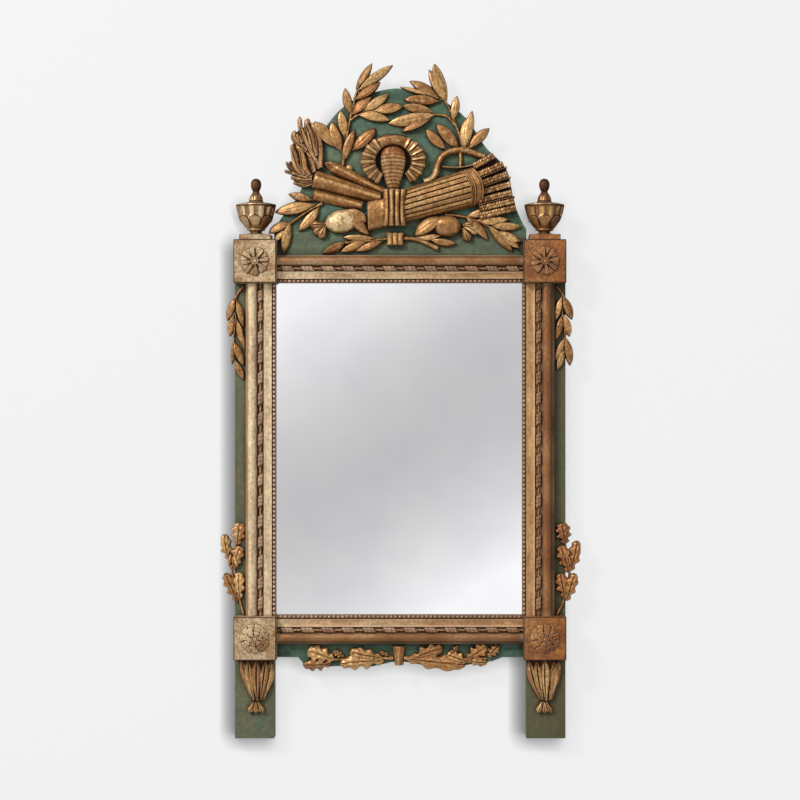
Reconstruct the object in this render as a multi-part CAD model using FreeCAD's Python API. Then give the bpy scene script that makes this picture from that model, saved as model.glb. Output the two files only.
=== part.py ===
import FreeCAD, Part
import math
import os

# Giltwood wall mirror: a green-painted pine carcass with two legs, gilt mouldings and corner blocks,
# turned urns, and a crest carved with a quiver, a torch, a ribbon and laurel.
# All lengths are millimetres. +X is to the right and +Z is up. The wall is the plane y = 0, and the
# mirror faces -Y. The origin is on the wall, behind the centre of the glass.

V = FreeCAD.Vector

# Sight opening and glass
SIGHT_WIDTH = 437.0
SIGHT_HEIGHT = 590.0
GLASS_THICKNESS = 4.0
GLASS_LAP = 5.8
GLASS_PLAY = 0.5

# Carcass
CARCASS_DEPTH = 34.0
STILE_WIDTH = 69.7
LEG_HEIGHT = 142.0
BLOCK_HEIGHT = 77.0
BLOCK_PROJECTION = 32.0
SIDE_MOULDING_WIDTH = 55.5
RAIL_MOULDING_WIDTH = 50.0
APRON_THICKNESS = 20.0
APRON_END_GAP = 46.3
TENON_THICKNESS = 10.0
TENON_HEIGHT = 30.0
TENON_LENGTH = 30.0
JOINT_CLEARANCE = 0.3
OVERRUN = 1.0

# Gilt mouldings and pearl strips
MOULDING_RELIEF = 22.0
PEARL_STRIP_WIDTH = 9.4
PEARL_STRIP_RELIEF = 7.0
PEARL_DIAMETER = 6.4
PEARL_PITCH = 7.85
PEARL_NECK_DIAMETER = 2.6
TWIST_PITCH = 36.4
TWIST_WRAP_LENGTH = 21.0
TWIST_WIDTH = 10.4
TWIST_RELIEF = 9.5
TWIST_SLANT = 5.0
TWIST_CORD_WIDTH = 5.2
TWIST_CORD_RELIEF = 5.0

# Rosettes on the corner blocks
ROSETTE_DIAMETER = 50.0
ROSETTE_RELIEF = 7.0
ROSETTE_BUTTON_DIAMETER = 12.0
ROSETTE_SINKING = 2.0
ROSETTE_MARGIN = 2.0

# Urns
URN_SETBACK = 28.0
PLINTH_WIDTH = 55.0
PLINTH_HEIGHT = 9.0
URN_DIAMETER = 66.0
URN_FOOT_DIAMETER = 31.0
URN_NECK_DIAMETER = 15.0
URN_FOOT_HEIGHT = 4.5
URN_NECK_HEIGHT = 9.0
URN_BOWL_BOTTOM = 13.0
URN_RIM_HEIGHT = 58.0
URN_RIM_LIP = 5.0
URN_LID_DIAMETER = 25.0
URN_LID_HEIGHT = 20.0
URN_KNOP_DIAMETER = 17.0
URN_KNOP_HEIGHT = 22.5
SPIGOT_DIAMETER = 7.0
SPIGOT_LENGTH = 12.0
SPIGOT_CLEARANCE = 0.1

# Crest
CREST_URN_GAP = 0.75
CREST_HEIGHT = 356.0
CREST_THICKNESS = 16.0
BATTEN_SPACING = 190.0
BATTEN_WIDTH = 38.0
BATTEN_THICKNESS = 10.0
BATTEN_LAP = 23.0
BATTEN_REACH = 210.0
LEAF_RELIEF = 10.0
STEM_WIDTH = 7.0
STEM_RELIEF = 6.5
TORCH_RELIEF = 21.0
TORCH_WIDTH = 25.0
STAVE_WIDTH = 16.5
STAVE_RELIEF = 15.0
FLAME_RELIEF = 15.0
QUIVER_RELIEF = 26.0
QUIVER_BUTT_WIDTH = 48.0
QUIVER_MOUTH_WIDTH = 66.0
QUIVER_BAND_WIDTH = 70.0
QUIVER_BAND_LENGTH = 20.0
QUIVER_FLUTES = 7
ARROW_RELIEF = 17.0
BOW_WIDTH = 9.6
BOW_RELIEF = 13.0
BOW_HORN_DIAMETER = 15.0
STRING_WIDTH = 3.2
STRING_RELIEF = 5.0
RIBBON_RELIEF = 20.0
RIBBON_PLEAT_DEPTH = 4.0
RIBBON_PLEATS = 18
RIBBON_TONGUE_WIDTH = 43.0
RIBBON_TIE_WIDTH = 38.0
RIBBON_TIE_RELIEF = 34.0
RIBBON_TIE_STRANDS = 4
STEM_TIE_WIDTH = 29.0
STEM_TIE_RELIEF = 15.0
ROSE_RELIEF = 17.0
ROSE_WIDTH = 46.0
BUD_WIDTH = 26.0
BUD_RELIEF = 13.0
BERRY_DIAMETER = 14.0

# Ornaments of the sides and the foot
LAUREL_DROP_HEIGHT = 178.0
OAK_SPRAY_HEIGHT = 178.0
HUSK_HEIGHT = 97.0
HUSK_WIDTH = 58.0
HUSK_RELIEF = 11.0
SIDE_LEAF_RELIEF = 8.5
SIDE_STEM_WIDTH = 5.0
SIDE_STEM_RELIEF = 5.0
OAK_RELIEF = 9.0
ACORN_WIDTH = 17.0
ACORN_RELIEF = 10.0
GARLAND_RELIEF = 10.0
GARLAND_STEM_WIDTH = 8.0
CLASP_WIDTH = 22.0
CLASP_RELIEF = 13.0

# Back boards, glass blocks and fixings
BOARD_THICKNESS = 8.0
BOARD_LAP = 10.0
BOARD_COUNT = 3
BOARD_GAP = 0.6
GLASS_BLOCK_WIDTH = 12.0
GLASS_BLOCK_LENGTH = 40.0
SCREW_SHANK_DIAMETER = 4.0
SCREW_HEAD_DIAMETER = 8.0
SCREW_HEAD_DEPTH = 2.6
SCREW_LENGTH = 19.0
SCREW_CLEARANCE = 0.05
NAIL_DIAMETER = 2.0
NAIL_HEAD_DIAMETER = 5.0
NAIL_HEAD_DEPTH = 1.5
NAIL_LENGTH = 20.0

# Hangers
HANGER_HEIGHT = 185.0
STRAP_WIDTH = 14.0
STRAP_LENGTH = 40.0
STRAP_THICKNESS = 1.5
RING_WIRE_DIAMETER = 3.5
RING_RUNNING_CLEARANCE = 0.1
RING_WIDTH = 18.0
RING_HEIGHT = 24.0
STRAP_EYE_WALL = 1.2
STRAP_EYE_LENGTH = 12.0

# Levels and lines that the sizes above fix
FRONT = -CARCASS_DEPTH
SIGHT_HALF_WIDTH = SIGHT_WIDTH / 2
SIGHT_HALF_HEIGHT = SIGHT_HEIGHT / 2
OPENING_HALF_WIDTH = SIGHT_HALF_WIDTH + GLASS_LAP
OPENING_HALF_HEIGHT = SIGHT_HALF_HEIGHT + GLASS_LAP
OUTER_HALF_WIDTH = OPENING_HALF_WIDTH + STILE_WIDTH
BLOCK_CENTRE = (SIGHT_HALF_WIDTH + OUTER_HALF_WIDTH) / 2
RAIL_EDGE = SIGHT_HALF_HEIGHT + RAIL_MOULDING_WIDTH
BLOCK_EDGE = SIGHT_HALF_HEIGHT + BLOCK_HEIGHT
FOOT_LEVEL = -(BLOCK_EDGE + LEG_HEIGHT)
BLOCK_FRONT = FRONT - BLOCK_PROJECTION
URN_LINE = BLOCK_FRONT + URN_SETBACK
URN_BASE = BLOCK_EDGE + PLINTH_HEIGHT
BOARD_HALF_WIDTH = OPENING_HALF_WIDTH + BOARD_LAP
BOARD_HALF_HEIGHT = OPENING_HALF_HEIGHT + BOARD_LAP
BATTEN_BACK = FRONT + CREST_THICKNESS + BATTEN_THICKNESS
BATTEN_FOOT = RAIL_EDGE - BATTEN_LAP
CREST_WIDTH = 2 * (BLOCK_CENTRE - URN_DIAMETER / 2 - CREST_URN_GAP)
APRON_WIDTH = 2 * (OPENING_HALF_WIDTH - APRON_END_GAP)
HANGER_AXIS_LEVEL = RAIL_EDGE + HANGER_HEIGHT - STRAP_LENGTH
HANGER_SCREW_LENGTH = STRAP_THICKNESS + BATTEN_THICKNESS
STRAP_BACK = BATTEN_BACK + STRAP_THICKNESS
RING_AXIS_DEPTH = STRAP_BACK + RING_WIRE_DIAMETER / 2 + RING_RUNNING_CLEARANCE + JOINT_CLEARANCE
SIDES = (("left", -1), ("right", 1))

# Moulding section: shares of its width from the outer edge, and of its relief
FILLET_SHARES = ((0.0, 0.0), (0.0, 0.40), (0.11, 0.40))
TORUS_SHARES = ((0.11, 0.40), (0.26, 1.0), (0.43, 0.58))
CHANNEL_SHARES = ((0.43, 0.58), (0.43, 0.36), (0.70, 0.36), (0.70, 0.66))
BAND_SHARES = ((0.70, 0.66), (0.84, 0.56), (1.0, 0.54))
CHANNEL_CENTRE_SHARE = 0.565
CHANNEL_FLOOR_SHARE = 0.36

# Ribbon twist: the flat top of its cord and its wraps, and the wraps' height across the ribbon
CORD_TOP_SHARE = 0.5
WRAP_TOP_SHARE = 0.8
WRAP_HEIGHT_SHARES = ((-1, 0.45), (0, 1.0), (1, 0.45))

# Rosette rings: petals, turn in petals, reach, relief and width as shares of the whole
ROSETTE_RING_SHARES = ((8, 0.0, 1.0, 0.62, 0.80), (8, 0.5, 0.94, 0.80, 0.72), (6, 0.25, 0.58, 0.92, 0.50))
PETAL_ROOT_SHARE = 0.25

# Urn: radii as shares of the neck's or the rim's, and the lid's and knop's radius and height shares
NECK_FLARE_SHARES = (1.15, 1.3)
BOWL_SHARES = (0.82, 0.93)
RIM_EDGE_SHARE = 0.96
LID_SHARES = ((1.0, 0.0), (0.95, 0.35), (0.70, 0.55))
KNOP_SHARES = ((0.60, 0.0), (1.0, 0.48), (0.62, 0.90), (0.42, 0.97), (0.20, 1.0))

# Sections of the trophy's pieces
STEM_TOP_SHARE = 0.5
BAR_RIDGE_SHARE = 0.45
BAR_SHOULDER_SHARES = (0.95, 0.55)
QUIVER_BAND_SHARES = (1.08, 1.12)
QUIVER_GROOVE_SHARE = 0.9
BAND_STEPS = 8
RIBBON_LOOP_RELIEF_SHARES = (0.8, 0.7)
STRAND_SWELL_SHARES = (1.08, 1.0, 1.12)
STRAND_GROOVE_SHARE = 0.92
STRAND_EDGE_SHARE = 0.75
BOW_HORN_WIDTH_SHARE = 0.8

# Places of fixings along what they hold
STRAP_SCREW_SHARES = (0.35, 0.80)
GLASS_BLOCK_SHARES = (-0.7, 0, 0.7)

# Leaf outlines: along the leaf, half width, height of the rib
LAUREL_SHARES = (
    (0.0, 0.16, 0.55), (0.16, 0.66, 0.80), (0.40, 1.0, 1.0), (0.64, 0.94, 0.95), (0.84, 0.60, 0.80),
    (1.0, 0.06, 0.40),
)
FLAME_SHARES = ((0.0, 0.85, 1.0), (0.30, 1.0, 0.95), (0.62, 0.80, 0.85), (0.85, 0.48, 0.65), (1.0, 0.08, 0.35))
OAK_SHARES = (
    (0.0, 0.16, 0.55), (0.12, 0.55, 0.75), (0.24, 0.42, 0.85), (0.40, 0.95, 1.0), (0.54, 0.62, 0.95),
    (0.70, 1.0, 0.95), (0.82, 0.62, 0.85), (0.92, 0.62, 0.75), (1.0, 0.22, 0.55),
)
PETAL_SHARES = ((0.0, 0.45, 0.70), (0.40, 0.80, 1.0), (0.78, 1.0, 0.90), (1.0, 0.45, 0.60))
HUSK_SHARES = ((0.0, 0.30, 0.70), (0.25, 0.62, 0.95), (0.60, 1.0, 1.0), (0.85, 0.72, 0.85), (1.0, 0.10, 0.50))
TONGUE_SHARES = (
    (0.0, 0.30, 0.70), (0.15, 0.52, 0.85), (0.30, 0.72, 0.80), (0.45, 0.88, 0.98), (0.60, 0.97, 0.90),
    (0.75, 1.0, 1.0), (0.90, 0.86, 0.85), (1.0, 0.55, 0.60),
)
BULB_SHARES = ((0.0, 0.25, 0.45), (0.20, 0.85, 0.85), (0.45, 1.0, 1.0), (0.75, 0.92, 0.95), (1.0, 0.70, 0.60))
VANE_SHARES = ((0.0, 0.85, 1.0), (0.45, 1.0, 1.0), (0.85, 0.90, 0.85), (1.0, 0.40, 0.55))
LEAF_EDGE_SHARE = 0.38
BATTEN_SCREW_SHARE = 0.3

# Crest places: shares of the crest's width from the middle, and of its height from the rail
CREST_OUTLINE_SHARES = (
    (-0.504, 0.135), (-0.455, 0.22), (-0.40, 0.32), (-0.37, 0.48), (-0.30, 0.64), (-0.22, 0.75),
    (-0.12, 0.81), (-0.02, 0.835), (0.08, 0.82), (0.19, 0.76), (0.28, 0.66), (0.35, 0.53), (0.42, 0.44),
    (0.45, 0.30), (0.475, 0.20), (0.504, 0.135),
)
LEFT_BRANCH_SHARES = (
    (-0.177, 0.83, -0.113, 0.96, 0.25), (-0.168, 0.82, -0.03, 0.95, 0.22),
    (-0.185, 0.775, -0.08, 0.866, 0.30), (-0.196, 0.70, -0.22, 0.836, 0.31),
    (-0.196, 0.70, -0.115, 0.795, 0.38), (-0.152, 0.715, -0.046, 0.805, 0.31),
    (-0.22, 0.588, -0.238, 0.725, 0.36), (-0.233, 0.515, -0.274, 0.668, 0.35),
    (-0.256, 0.54, -0.343, 0.668, 0.39), (-0.228, 0.464, -0.182, 0.628, 0.27),
    (-0.192, 0.525, -0.099, 0.635, 0.38), (-0.172, 0.705, -0.04, 0.675, 0.31),
    (-0.106, 0.723, 0.012, 0.745, 0.37),
)
LEFT_BRANCH_STEM_SHARES = ((-0.23, 0.45), (-0.217, 0.56), (-0.204, 0.655), (-0.19, 0.735), (-0.17, 0.825))
LEFT_ARM_SHARES = ((-0.20, 0.675), (-0.165, 0.705), (-0.10, 0.724))
RIGHT_BRANCH_SHARES = (
    (0.16, 0.77, 0.013, 0.779, 0.29), (0.136, 0.71, 0.008, 0.745, 0.31), (0.14, 0.703, -0.049, 0.658, 0.26),
    (0.12, 0.68, 0.006, 0.618, 0.28), (0.184, 0.53, 0.103, 0.632, 0.36), (0.232, 0.532, 0.144, 0.655, 0.36),
    (0.16, 0.78, 0.038, 0.871, 0.28), (0.155, 0.80, 0.0, 0.842, 0.14), (0.184, 0.765, 0.137, 0.957, 0.30),
    (0.172, 0.775, 0.116, 0.928, 0.27), (0.21, 0.67, 0.227, 0.797, 0.33), (0.27, 0.545, 0.288, 0.722, 0.25),
    (0.256, 0.53, 0.265, 0.688, 0.33), (0.272, 0.53, 0.356, 0.635, 0.34),
)
RIGHT_BRANCH_STEM_SHARES = ((0.256, 0.515), (0.238, 0.595), (0.217, 0.668), (0.196, 0.735), (0.168, 0.79))
RIGHT_ARM_SHARES = ((0.22, 0.65), (0.188, 0.693), (0.128, 0.705))
RIGHT_FORK_SHARES = ((0.19, 0.525), (0.24, 0.53), (0.275, 0.54))
LEFT_SPRAY_SHARES = (
    (-0.348, 0.275, -0.446, 0.307, 0.33), (-0.34, 0.255, -0.50, 0.216, 0.30),
    (-0.324, 0.24, -0.407, 0.123, 0.32), (-0.44, 0.165, -0.526, 0.113, 0.38),
    (-0.438, 0.165, -0.464, 0.01, 0.30), (-0.456, 0.135, -0.51, 0.062, 0.33),
)
LEFT_SPRAY_STEM_SHARES = ((-0.312, 0.26), (-0.376, 0.215), (-0.448, 0.15))
RIGHT_SPRAY_SHARES = (
    (0.266, 0.193, 0.378, 0.23, 0.31), (0.304, 0.175, 0.435, 0.18, 0.29), (0.356, 0.14, 0.485, 0.143, 0.28),
    (0.264, 0.195, 0.352, 0.077, 0.29), (0.348, 0.147, 0.448, 0.017, 0.26),
    (0.384, 0.122, 0.485, 0.07, 0.33), (0.40, 0.105, 0.478, 0.035, 0.36),
)
RIGHT_SPRAY_STEM_SHARES = ((0.18, 0.203), (0.266, 0.19), (0.352, 0.145), (0.40, 0.11))
LEFT_ROSE_SHARES = ((-0.135, 0.16), (-0.30, 0.165))
LEFT_ROSE_LEAF_SHARES = (
    (-0.224, 0.21, -0.12, 0.098, 0.31), (-0.10, 0.085, -0.23, 0.09, 0.24),
    (-0.216, 0.065, -0.311, 0.01, 0.34), (-0.136, 0.065, -0.238, 0.015, 0.31),
    (-0.068, 0.075, -0.18, 0.02, 0.27),
)
LEFT_ROSE_STEM_SHARES = ((-0.03, 0.085), (-0.13, 0.072), (-0.22, 0.063))
LEFT_BUD_SHARES = ((-0.295, 0.155, -0.36, 0.15), (-0.30, 0.15, -0.345, 0.105), (-0.30, 0.15, -0.32, 0.085))
RIGHT_ROSE_SHARES = ((0.10, 0.155), (0.255, 0.15))
RIGHT_ROSE_LEAF_SHARES = (
    (0.166, 0.197, 0.04, 0.095, 0.34), (0.06, 0.09, 0.165, 0.098, 0.27), (0.12, 0.075, 0.225, 0.058, 0.30),
)
RIGHT_ROSE_STEM_SHARES = ((-0.03, 0.085), (0.07, 0.078), (0.15, 0.035))
RIGHT_BUD_SHARES = ((0.25, 0.15, 0.30, 0.155), (0.255, 0.145, 0.315, 0.115), (0.25, 0.135, 0.275, 0.07))
ARROW_SHARES = (
    (0.29, 0.44, 0.375, 0.497, 0.34), (0.30, 0.395, 0.412, 0.455, 0.33), (0.305, 0.35, 0.428, 0.405, 0.31),
    (0.31, 0.31, 0.44, 0.355, 0.30), (0.31, 0.27, 0.445, 0.31, 0.30), (0.315, 0.23, 0.456, 0.272, 0.29),
    (0.315, 0.195, 0.463, 0.235, 0.27),
)
FLAME_TONGUE_SHARES = (
    (-0.33, 0.395, -0.405, 0.715, 0.17), (-0.32, 0.42, -0.372, 0.695, 0.20),
    (-0.305, 0.44, -0.342, 0.655, 0.21), (-0.348, 0.38, -0.436, 0.62, 0.20),
    (-0.352, 0.37, -0.43, 0.555, 0.26), (-0.35, 0.36, -0.456, 0.47, 0.24),
    (-0.35, 0.35, -0.464, 0.422, 0.22), (-0.34, 0.335, -0.444, 0.385, 0.26),
    (-0.33, 0.32, -0.412, 0.345, 0.36),
)
TORCH_CENTRE_SHARES = ((-0.344, 0.385), (-0.08, 0.255))
TORCH_UPPER_SHARES = ((-0.294, 0.472), (-0.05, 0.312))
TORCH_LOWER_SHARES = ((-0.348, 0.302), (-0.13, 0.212))
TORCH_TIP_WIDTH_SHARE = 0.85
QUIVER_BUTT_SHARES = (-0.128, 0.195)
QUIVER_MOUTH_SHARES = (0.262, 0.333)
BOW_SHARES = ((0.137, 0.40), (0.148, 0.454), (0.174, 0.50), (0.217, 0.522), (0.271, 0.522), (0.34, 0.497))
BOW_HORN_SHARES = (0.115, 0.385)
STRING_SHARES = ((0.155, 0.445), (0.238, 0.43), (0.315, 0.458))
RIBBON_CENTRE_SHARES = (-0.027, 0.47)
RIBBON_OUTER_SHARES = (0.131, 0.133)
RIBBON_INNER_SHARES = (0.072, 0.078)
RIBBON_TONGUE_SHARES = (-0.028, 0.32, 0.55)
RIBBON_START_DEGREES = -52.0
RIBBON_END_DEGREES = 232.0
RIBBON_TIE_SHARES = (-0.022, 0.145, 0.325)
STEM_TIE_SHARES = (-0.02, 0.05, 0.112)
BERRY_SHARES = (-0.204, 0.435)
BERRY_BASE_SHARE = 0.4

# Side drops: shares of the drop's height, outward from the stile's edge and up from the block
LEFT_DROP_SHARES = (
    (0.0, -0.14, 0.076, -0.37, 0.31), (-0.02, -0.16, -0.09, -0.44, 0.26), (0.01, -0.31, 0.049, -0.53, 0.34),
    (-0.02, -0.36, -0.067, -0.61, 0.28), (-0.045, -0.44, -0.095, -0.67, 0.20),
    (0.02, -0.59, 0.03, -0.81, 0.20), (0.01, -0.58, -0.09, -0.82, 0.32),
    (-0.005, -0.77, -0.09, -0.96, 0.34),
)
LEFT_DROP_STEM_SHARES = ((-0.085, -0.03), (-0.022, -0.11), (-0.008, -0.36), (0.012, -0.57), (-0.004, -0.79))
RIGHT_DROP_SHARES = (
    (-0.018, -0.13, 0.064, -0.36, 0.35), (-0.035, -0.12, -0.10, -0.37, 0.28),
    (-0.027, -0.31, 0.038, -0.53, 0.36), (-0.035, -0.31, -0.10, -0.57, 0.27),
    (-0.002, -0.54, 0.044, -0.82, 0.29), (-0.005, -0.54, -0.10, -0.78, 0.29),
    (-0.01, -0.66, -0.08, -0.86, 0.35),
)
RIGHT_DROP_STEM_SHARES = ((-0.09, -0.03), (-0.029, -0.11), (-0.032, -0.32), (-0.002, -0.55), (-0.01, -0.69))

# Oak sprays: shares of the spray's height, outward from the stile's edge and up from the block
LEFT_OAK_LEAF_SHARES = (
    (-0.023, 0.705, -0.045, 0.93, 0.58), (0.055, 0.555, 0.106, 0.81, 0.40),
    (0.03, 0.455, -0.06, 0.695, 0.50), (-0.05, 0.165, -0.04, 0.435, 0.44),
    (-0.028, 0.135, 0.097, 0.42, 0.35),
)
LEFT_OAK_STEM_SHARES = ((-0.085, 0.01), (-0.055, 0.13), (-0.018, 0.265), (0.03, 0.455), (-0.01, 0.72))
LEFT_ACORN_SHARES = ((0.01, 0.60, -0.03, 0.48), (0.04, 0.62, 0.055, 0.50))
RIGHT_OAK_LEAF_SHARES = (
    (-0.002, 0.715, -0.04, 0.925, 0.62), (0.048, 0.445, 0.118, 0.745, 0.36),
    (0.033, 0.425, -0.055, 0.70, 0.44), (-0.005, 0.175, -0.055, 0.425, 0.48),
    (0.008, 0.145, 0.093, 0.42, 0.38),
)
RIGHT_OAK_STEM_SHARES = ((-0.085, 0.01), (-0.032, 0.12), (0.008, 0.265), (0.043, 0.445), (-0.002, 0.715))
RIGHT_ACORN_SHARES = ((-0.01, 0.62, -0.04, 0.50), (0.03, 0.60, 0.05, 0.49))

# Husks: shares of the husk's width from its middle, and of its height down from the block
HUSK_LEAF_SHARES = (
    (-0.10, 0.80, -0.46, 0.02, 0.21), (0.10, 0.80, 0.46, 0.02, 0.21), (-0.09, 0.80, -0.26, 0.10, 0.25),
    (0.09, 0.80, 0.26, 0.10, 0.25), (-0.05, 0.81, -0.08, 0.0, 0.24), (0.06, 0.81, 0.12, 0.10, 0.24),
)
HUSK_BUD_SHARES = ((-0.06, 0.79, -0.19, 0.99), (0.06, 0.79, 0.21, 0.99), (0.0, 0.79, 0.01, 1.0))
HUSK_BUD_WIDTH_SHARE = 0.40

# Garland and apron: shares of the apron's width from the middle and down from the bottom moulding
APRON_SHARES = (
    (-0.51, -0.069), (-0.485, -0.10), (-0.40, -0.118), (-0.275, -0.112), (-0.14, -0.116), (-0.04, -0.093),
    (0.03, -0.093), (0.15, -0.116), (0.28, -0.118), (0.38, -0.10), (0.46, -0.09), (0.51, -0.069),
)
GARLAND_LEFT_SHARES = (
    (-0.05, -0.065, -0.253, -0.032, 0.27), (-0.06, -0.085, -0.307, -0.098, 0.16),
    (-0.325, -0.074, -0.465, -0.035, 0.38), (-0.32, -0.084, -0.475, -0.098, 0.28),
    (-0.275, -0.074, -0.335, -0.036, 0.40),
)
GARLAND_LEFT_STEM_SHARES = ((-0.035, -0.072), (-0.18, -0.075), (-0.34, -0.08))
GARLAND_RIGHT_SHARES = (
    (0.03, -0.065, 0.21, -0.032, 0.30), (0.04, -0.086, 0.298, -0.10, 0.16),
    (0.26, -0.08, 0.33, -0.045, 0.46), (0.325, -0.074, 0.425, -0.03, 0.48),
    (0.42, -0.071, 0.49, -0.03, 0.50), (0.33, -0.09, 0.435, -0.088, 0.30),
    (0.235, -0.07, 0.285, -0.035, 0.46),
)
GARLAND_RIGHT_STEM_SHARES = ((0.02, -0.072), (0.18, -0.074), (0.33, -0.078), (0.43, -0.075))
CLASP_SHARES = (-0.006, -0.108, -0.012)

# Tolerances of the making, with no unit
FLAT_SHARE = 1e-10
CRUMB_SHARE = 0.002


def box(x_span, y_span, z_span):
    """A block between the given pairs of planes, in either order."""
    low = V(min(x_span), min(y_span), min(z_span))
    high = V(max(x_span), max(y_span), max(z_span))
    return Part.makeBox(high.x - low.x, high.y - low.y, high.z - low.z, low)


def rod(radius, start, end):
    """A round bar from start to end."""
    run = end - start
    return Part.makeCylinder(radius, run.Length, start, run)


def face(points):
    """A flat face with straight edges."""
    return Part.Face(Part.makePolygon(list(points) + [points[0]]))


def side_faces(a, b, c, d):
    """The patch between two edges a-b and d-c: one face where it is flat, or two triangles."""
    volume = abs((b - a).cross(d - a).dot(c - a))
    size = max((b - a).Length, (d - a).Length, (c - a).Length)
    if volume < FLAT_SHARE * size ** 3:
        return [face((a, b, c, d))]
    return [face((a, b, c)), face((a, c, d))]


def skin(loops):
    """A solid through loops with the same number of points, with a flat face at each end."""
    faces = [face(loops[0]), face(loops[-1])]
    count = len(loops[0])
    for near, far in zip(loops, loops[1:]):
        for index in range(count):
            following = (index + 1) % count
            faces += side_faces(near[index], near[following], far[following], far[index])
    shell = Part.makeShell(faces)
    shell.sewShape()
    solid = Part.makeSolid(Part.Shell(shell.Faces))
    if solid.Volume < 0:
        solid.reverse()
    return solid


def fuse(shapes):
    """One shape from many that overlap."""
    if len(shapes) == 1:
        return shapes[0]
    return shapes[0].multiFuse(shapes[1:])


def carve(shape, *others):
    """The shape where none of the others is, without the crumbs that a cut can leave."""
    result = shape.cut(Part.makeCompound([solid for other in others for solid in other.Solids]))
    whole = shape.Volume
    return Part.makeCompound([solid for solid in result.Solids if solid.Volume > CRUMB_SHARE * whole])


def on_ground(place, relief, ground=FRONT):
    """A point that stands out by relief from the ground plane, at place in x and z."""
    return V(place[0], ground - relief, place[1])


def leaf(base, tip, width, relief, outline_shares=LAUREL_SHARES, ground=FRONT):
    """A carved leaf on the ground plane, with a flat back, a thin edge and a rib along its middle."""
    start = on_ground(base, 0, ground)
    run = on_ground(tip, 0, ground) - start
    across = V(run.z, 0, -run.x) * (width / 2 / run.Length)
    loops = []
    for along_share, half_share, rib_share in outline_shares:
        middle = start + run * along_share
        half = across * half_share
        rib = V(0, -relief * rib_share, 0)
        edge = rib * LEAF_EDGE_SHARE
        loops.append([middle - half, middle - half + edge, middle + rib, middle + half + edge, middle + half])
    return skin(loops)


def stem(places, width, relief, ground=FRONT):
    """A raised bar along the places, with sloping sides and mitred bends."""
    points = [on_ground(place, 0, ground) for place in places]
    loops = []
    for index, point in enumerate(points):
        before = points[max(index - 1, 0)]
        after = points[min(index + 1, len(points) - 1)]
        run = after - before
        across = V(run.z, 0, -run.x) * (width / 2 / run.Length)
        lift = V(0, -relief, 0)
        top = across * STEM_TOP_SHARE
        loops.append([point - across, point - top + lift, point + top + lift, point + across])
    return skin(loops)


def leaves(rows, place, relief, outline_shares=LAUREL_SHARES):
    """A leaf for each row of base, tip and width as a share of the leaf's length."""
    made = []
    for base_u, base_v, tip_u, tip_v, width_share in rows:
        base = place(base_u, base_v)
        tip = place(tip_u, tip_v)
        length = math.hypot(tip[0] - base[0], tip[1] - base[1])
        made.append(leaf(base, tip, length * width_share, relief, outline_shares))
    return made


def crest_place(u_share, v_share):
    """The x and z of a place on the crest."""
    return (u_share * CREST_WIDTH, RAIL_EDGE + v_share * CREST_HEIGHT)


def crest_places(rows):
    """The x and z of several places on the crest."""
    return [crest_place(u_share, v_share) for u_share, v_share in rows]


def apron_place(u_share, v_share):
    """The x and z of a place on the apron under the bottom moulding."""
    return (u_share * APRON_WIDTH, -RAIL_EDGE + v_share * APRON_WIDTH)


def outward_place(side, height, level):
    """A function that places shares of height outward from a stile's edge and up from a level."""
    def place(out_share, up_share):
        return (side * (OUTER_HALF_WIDTH + out_share * height), level + up_share * height)
    return place


def stile(side):
    """An upright with its leg, two mortises, and the rebate for the back boards."""
    inner = side * OPENING_HALF_WIDTH
    post = box((inner, side * OUTER_HALF_WIDTH), (FRONT, 0), (FOOT_LEVEL, BLOCK_EDGE))
    rebate = box((inner - side * OVERRUN, side * BOARD_HALF_WIDTH), (-BOARD_THICKNESS, OVERRUN),
                 (-BOARD_HALF_HEIGHT, BOARD_HALF_HEIGHT))
    cuts = [rebate]
    for upright in (-1, 1):
        cuts.append(tenon(side, upright, JOINT_CLEARANCE, OVERRUN))
    return post.cut(Part.makeCompound(cuts))


def tenon(side, upright, clearance=0, overrun=0):
    """The tongue of a rail in a stile, or with clearance and overrun the hole for it."""
    inner = OPENING_HALF_WIDTH - overrun
    outer = OPENING_HALF_WIDTH + TENON_LENGTH + clearance
    depth = FRONT / 2
    half_thickness = TENON_THICKNESS / 2 + clearance
    level = (OPENING_HALF_HEIGHT + RAIL_EDGE) / 2
    half_height = TENON_HEIGHT / 2 + clearance
    return box((side * inner, side * outer), (depth - half_thickness, depth + half_thickness),
               (upright * (level - half_height), upright * (level + half_height)))


def rail(upright):
    """A rail with a tenon at each end and the rebate for the back boards."""
    span = (-OPENING_HALF_WIDTH, OPENING_HALF_WIDTH)
    bar = box(span, (FRONT, 0), (upright * OPENING_HALF_HEIGHT, upright * RAIL_EDGE))
    rebate = box((span[0] - OVERRUN, span[1] + OVERRUN), (-BOARD_THICKNESS, OVERRUN),
                 (upright * (OPENING_HALF_HEIGHT - OVERRUN), upright * BOARD_HALF_HEIGHT))
    bar = bar.cut(rebate)
    return bar.multiFuse([tenon(side, upright) for _, side in SIDES])


def batten_span(side, clearance=0):
    """The x of the two edges of a crest batten, or of its housing."""
    half = BATTEN_WIDTH / 2 + clearance
    return (side * BATTEN_SPACING / 2 - half, side * BATTEN_SPACING / 2 + half)


def top_rail():
    """The top rail, housed at the back for the two crest battens."""
    housings = []
    for _, side in SIDES:
        housings.append(box(batten_span(side, JOINT_CLEARANCE), (FRONT + CREST_THICKNESS, OVERRUN),
                            (BATTEN_FOOT - JOINT_CLEARANCE, RAIL_EDGE + OVERRUN)))
    screws = [screw_hole(place) for place in batten_screw_places() if place[1] < RAIL_EDGE]
    return rail(1).cut(Part.makeCompound(housings + screws))


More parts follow.
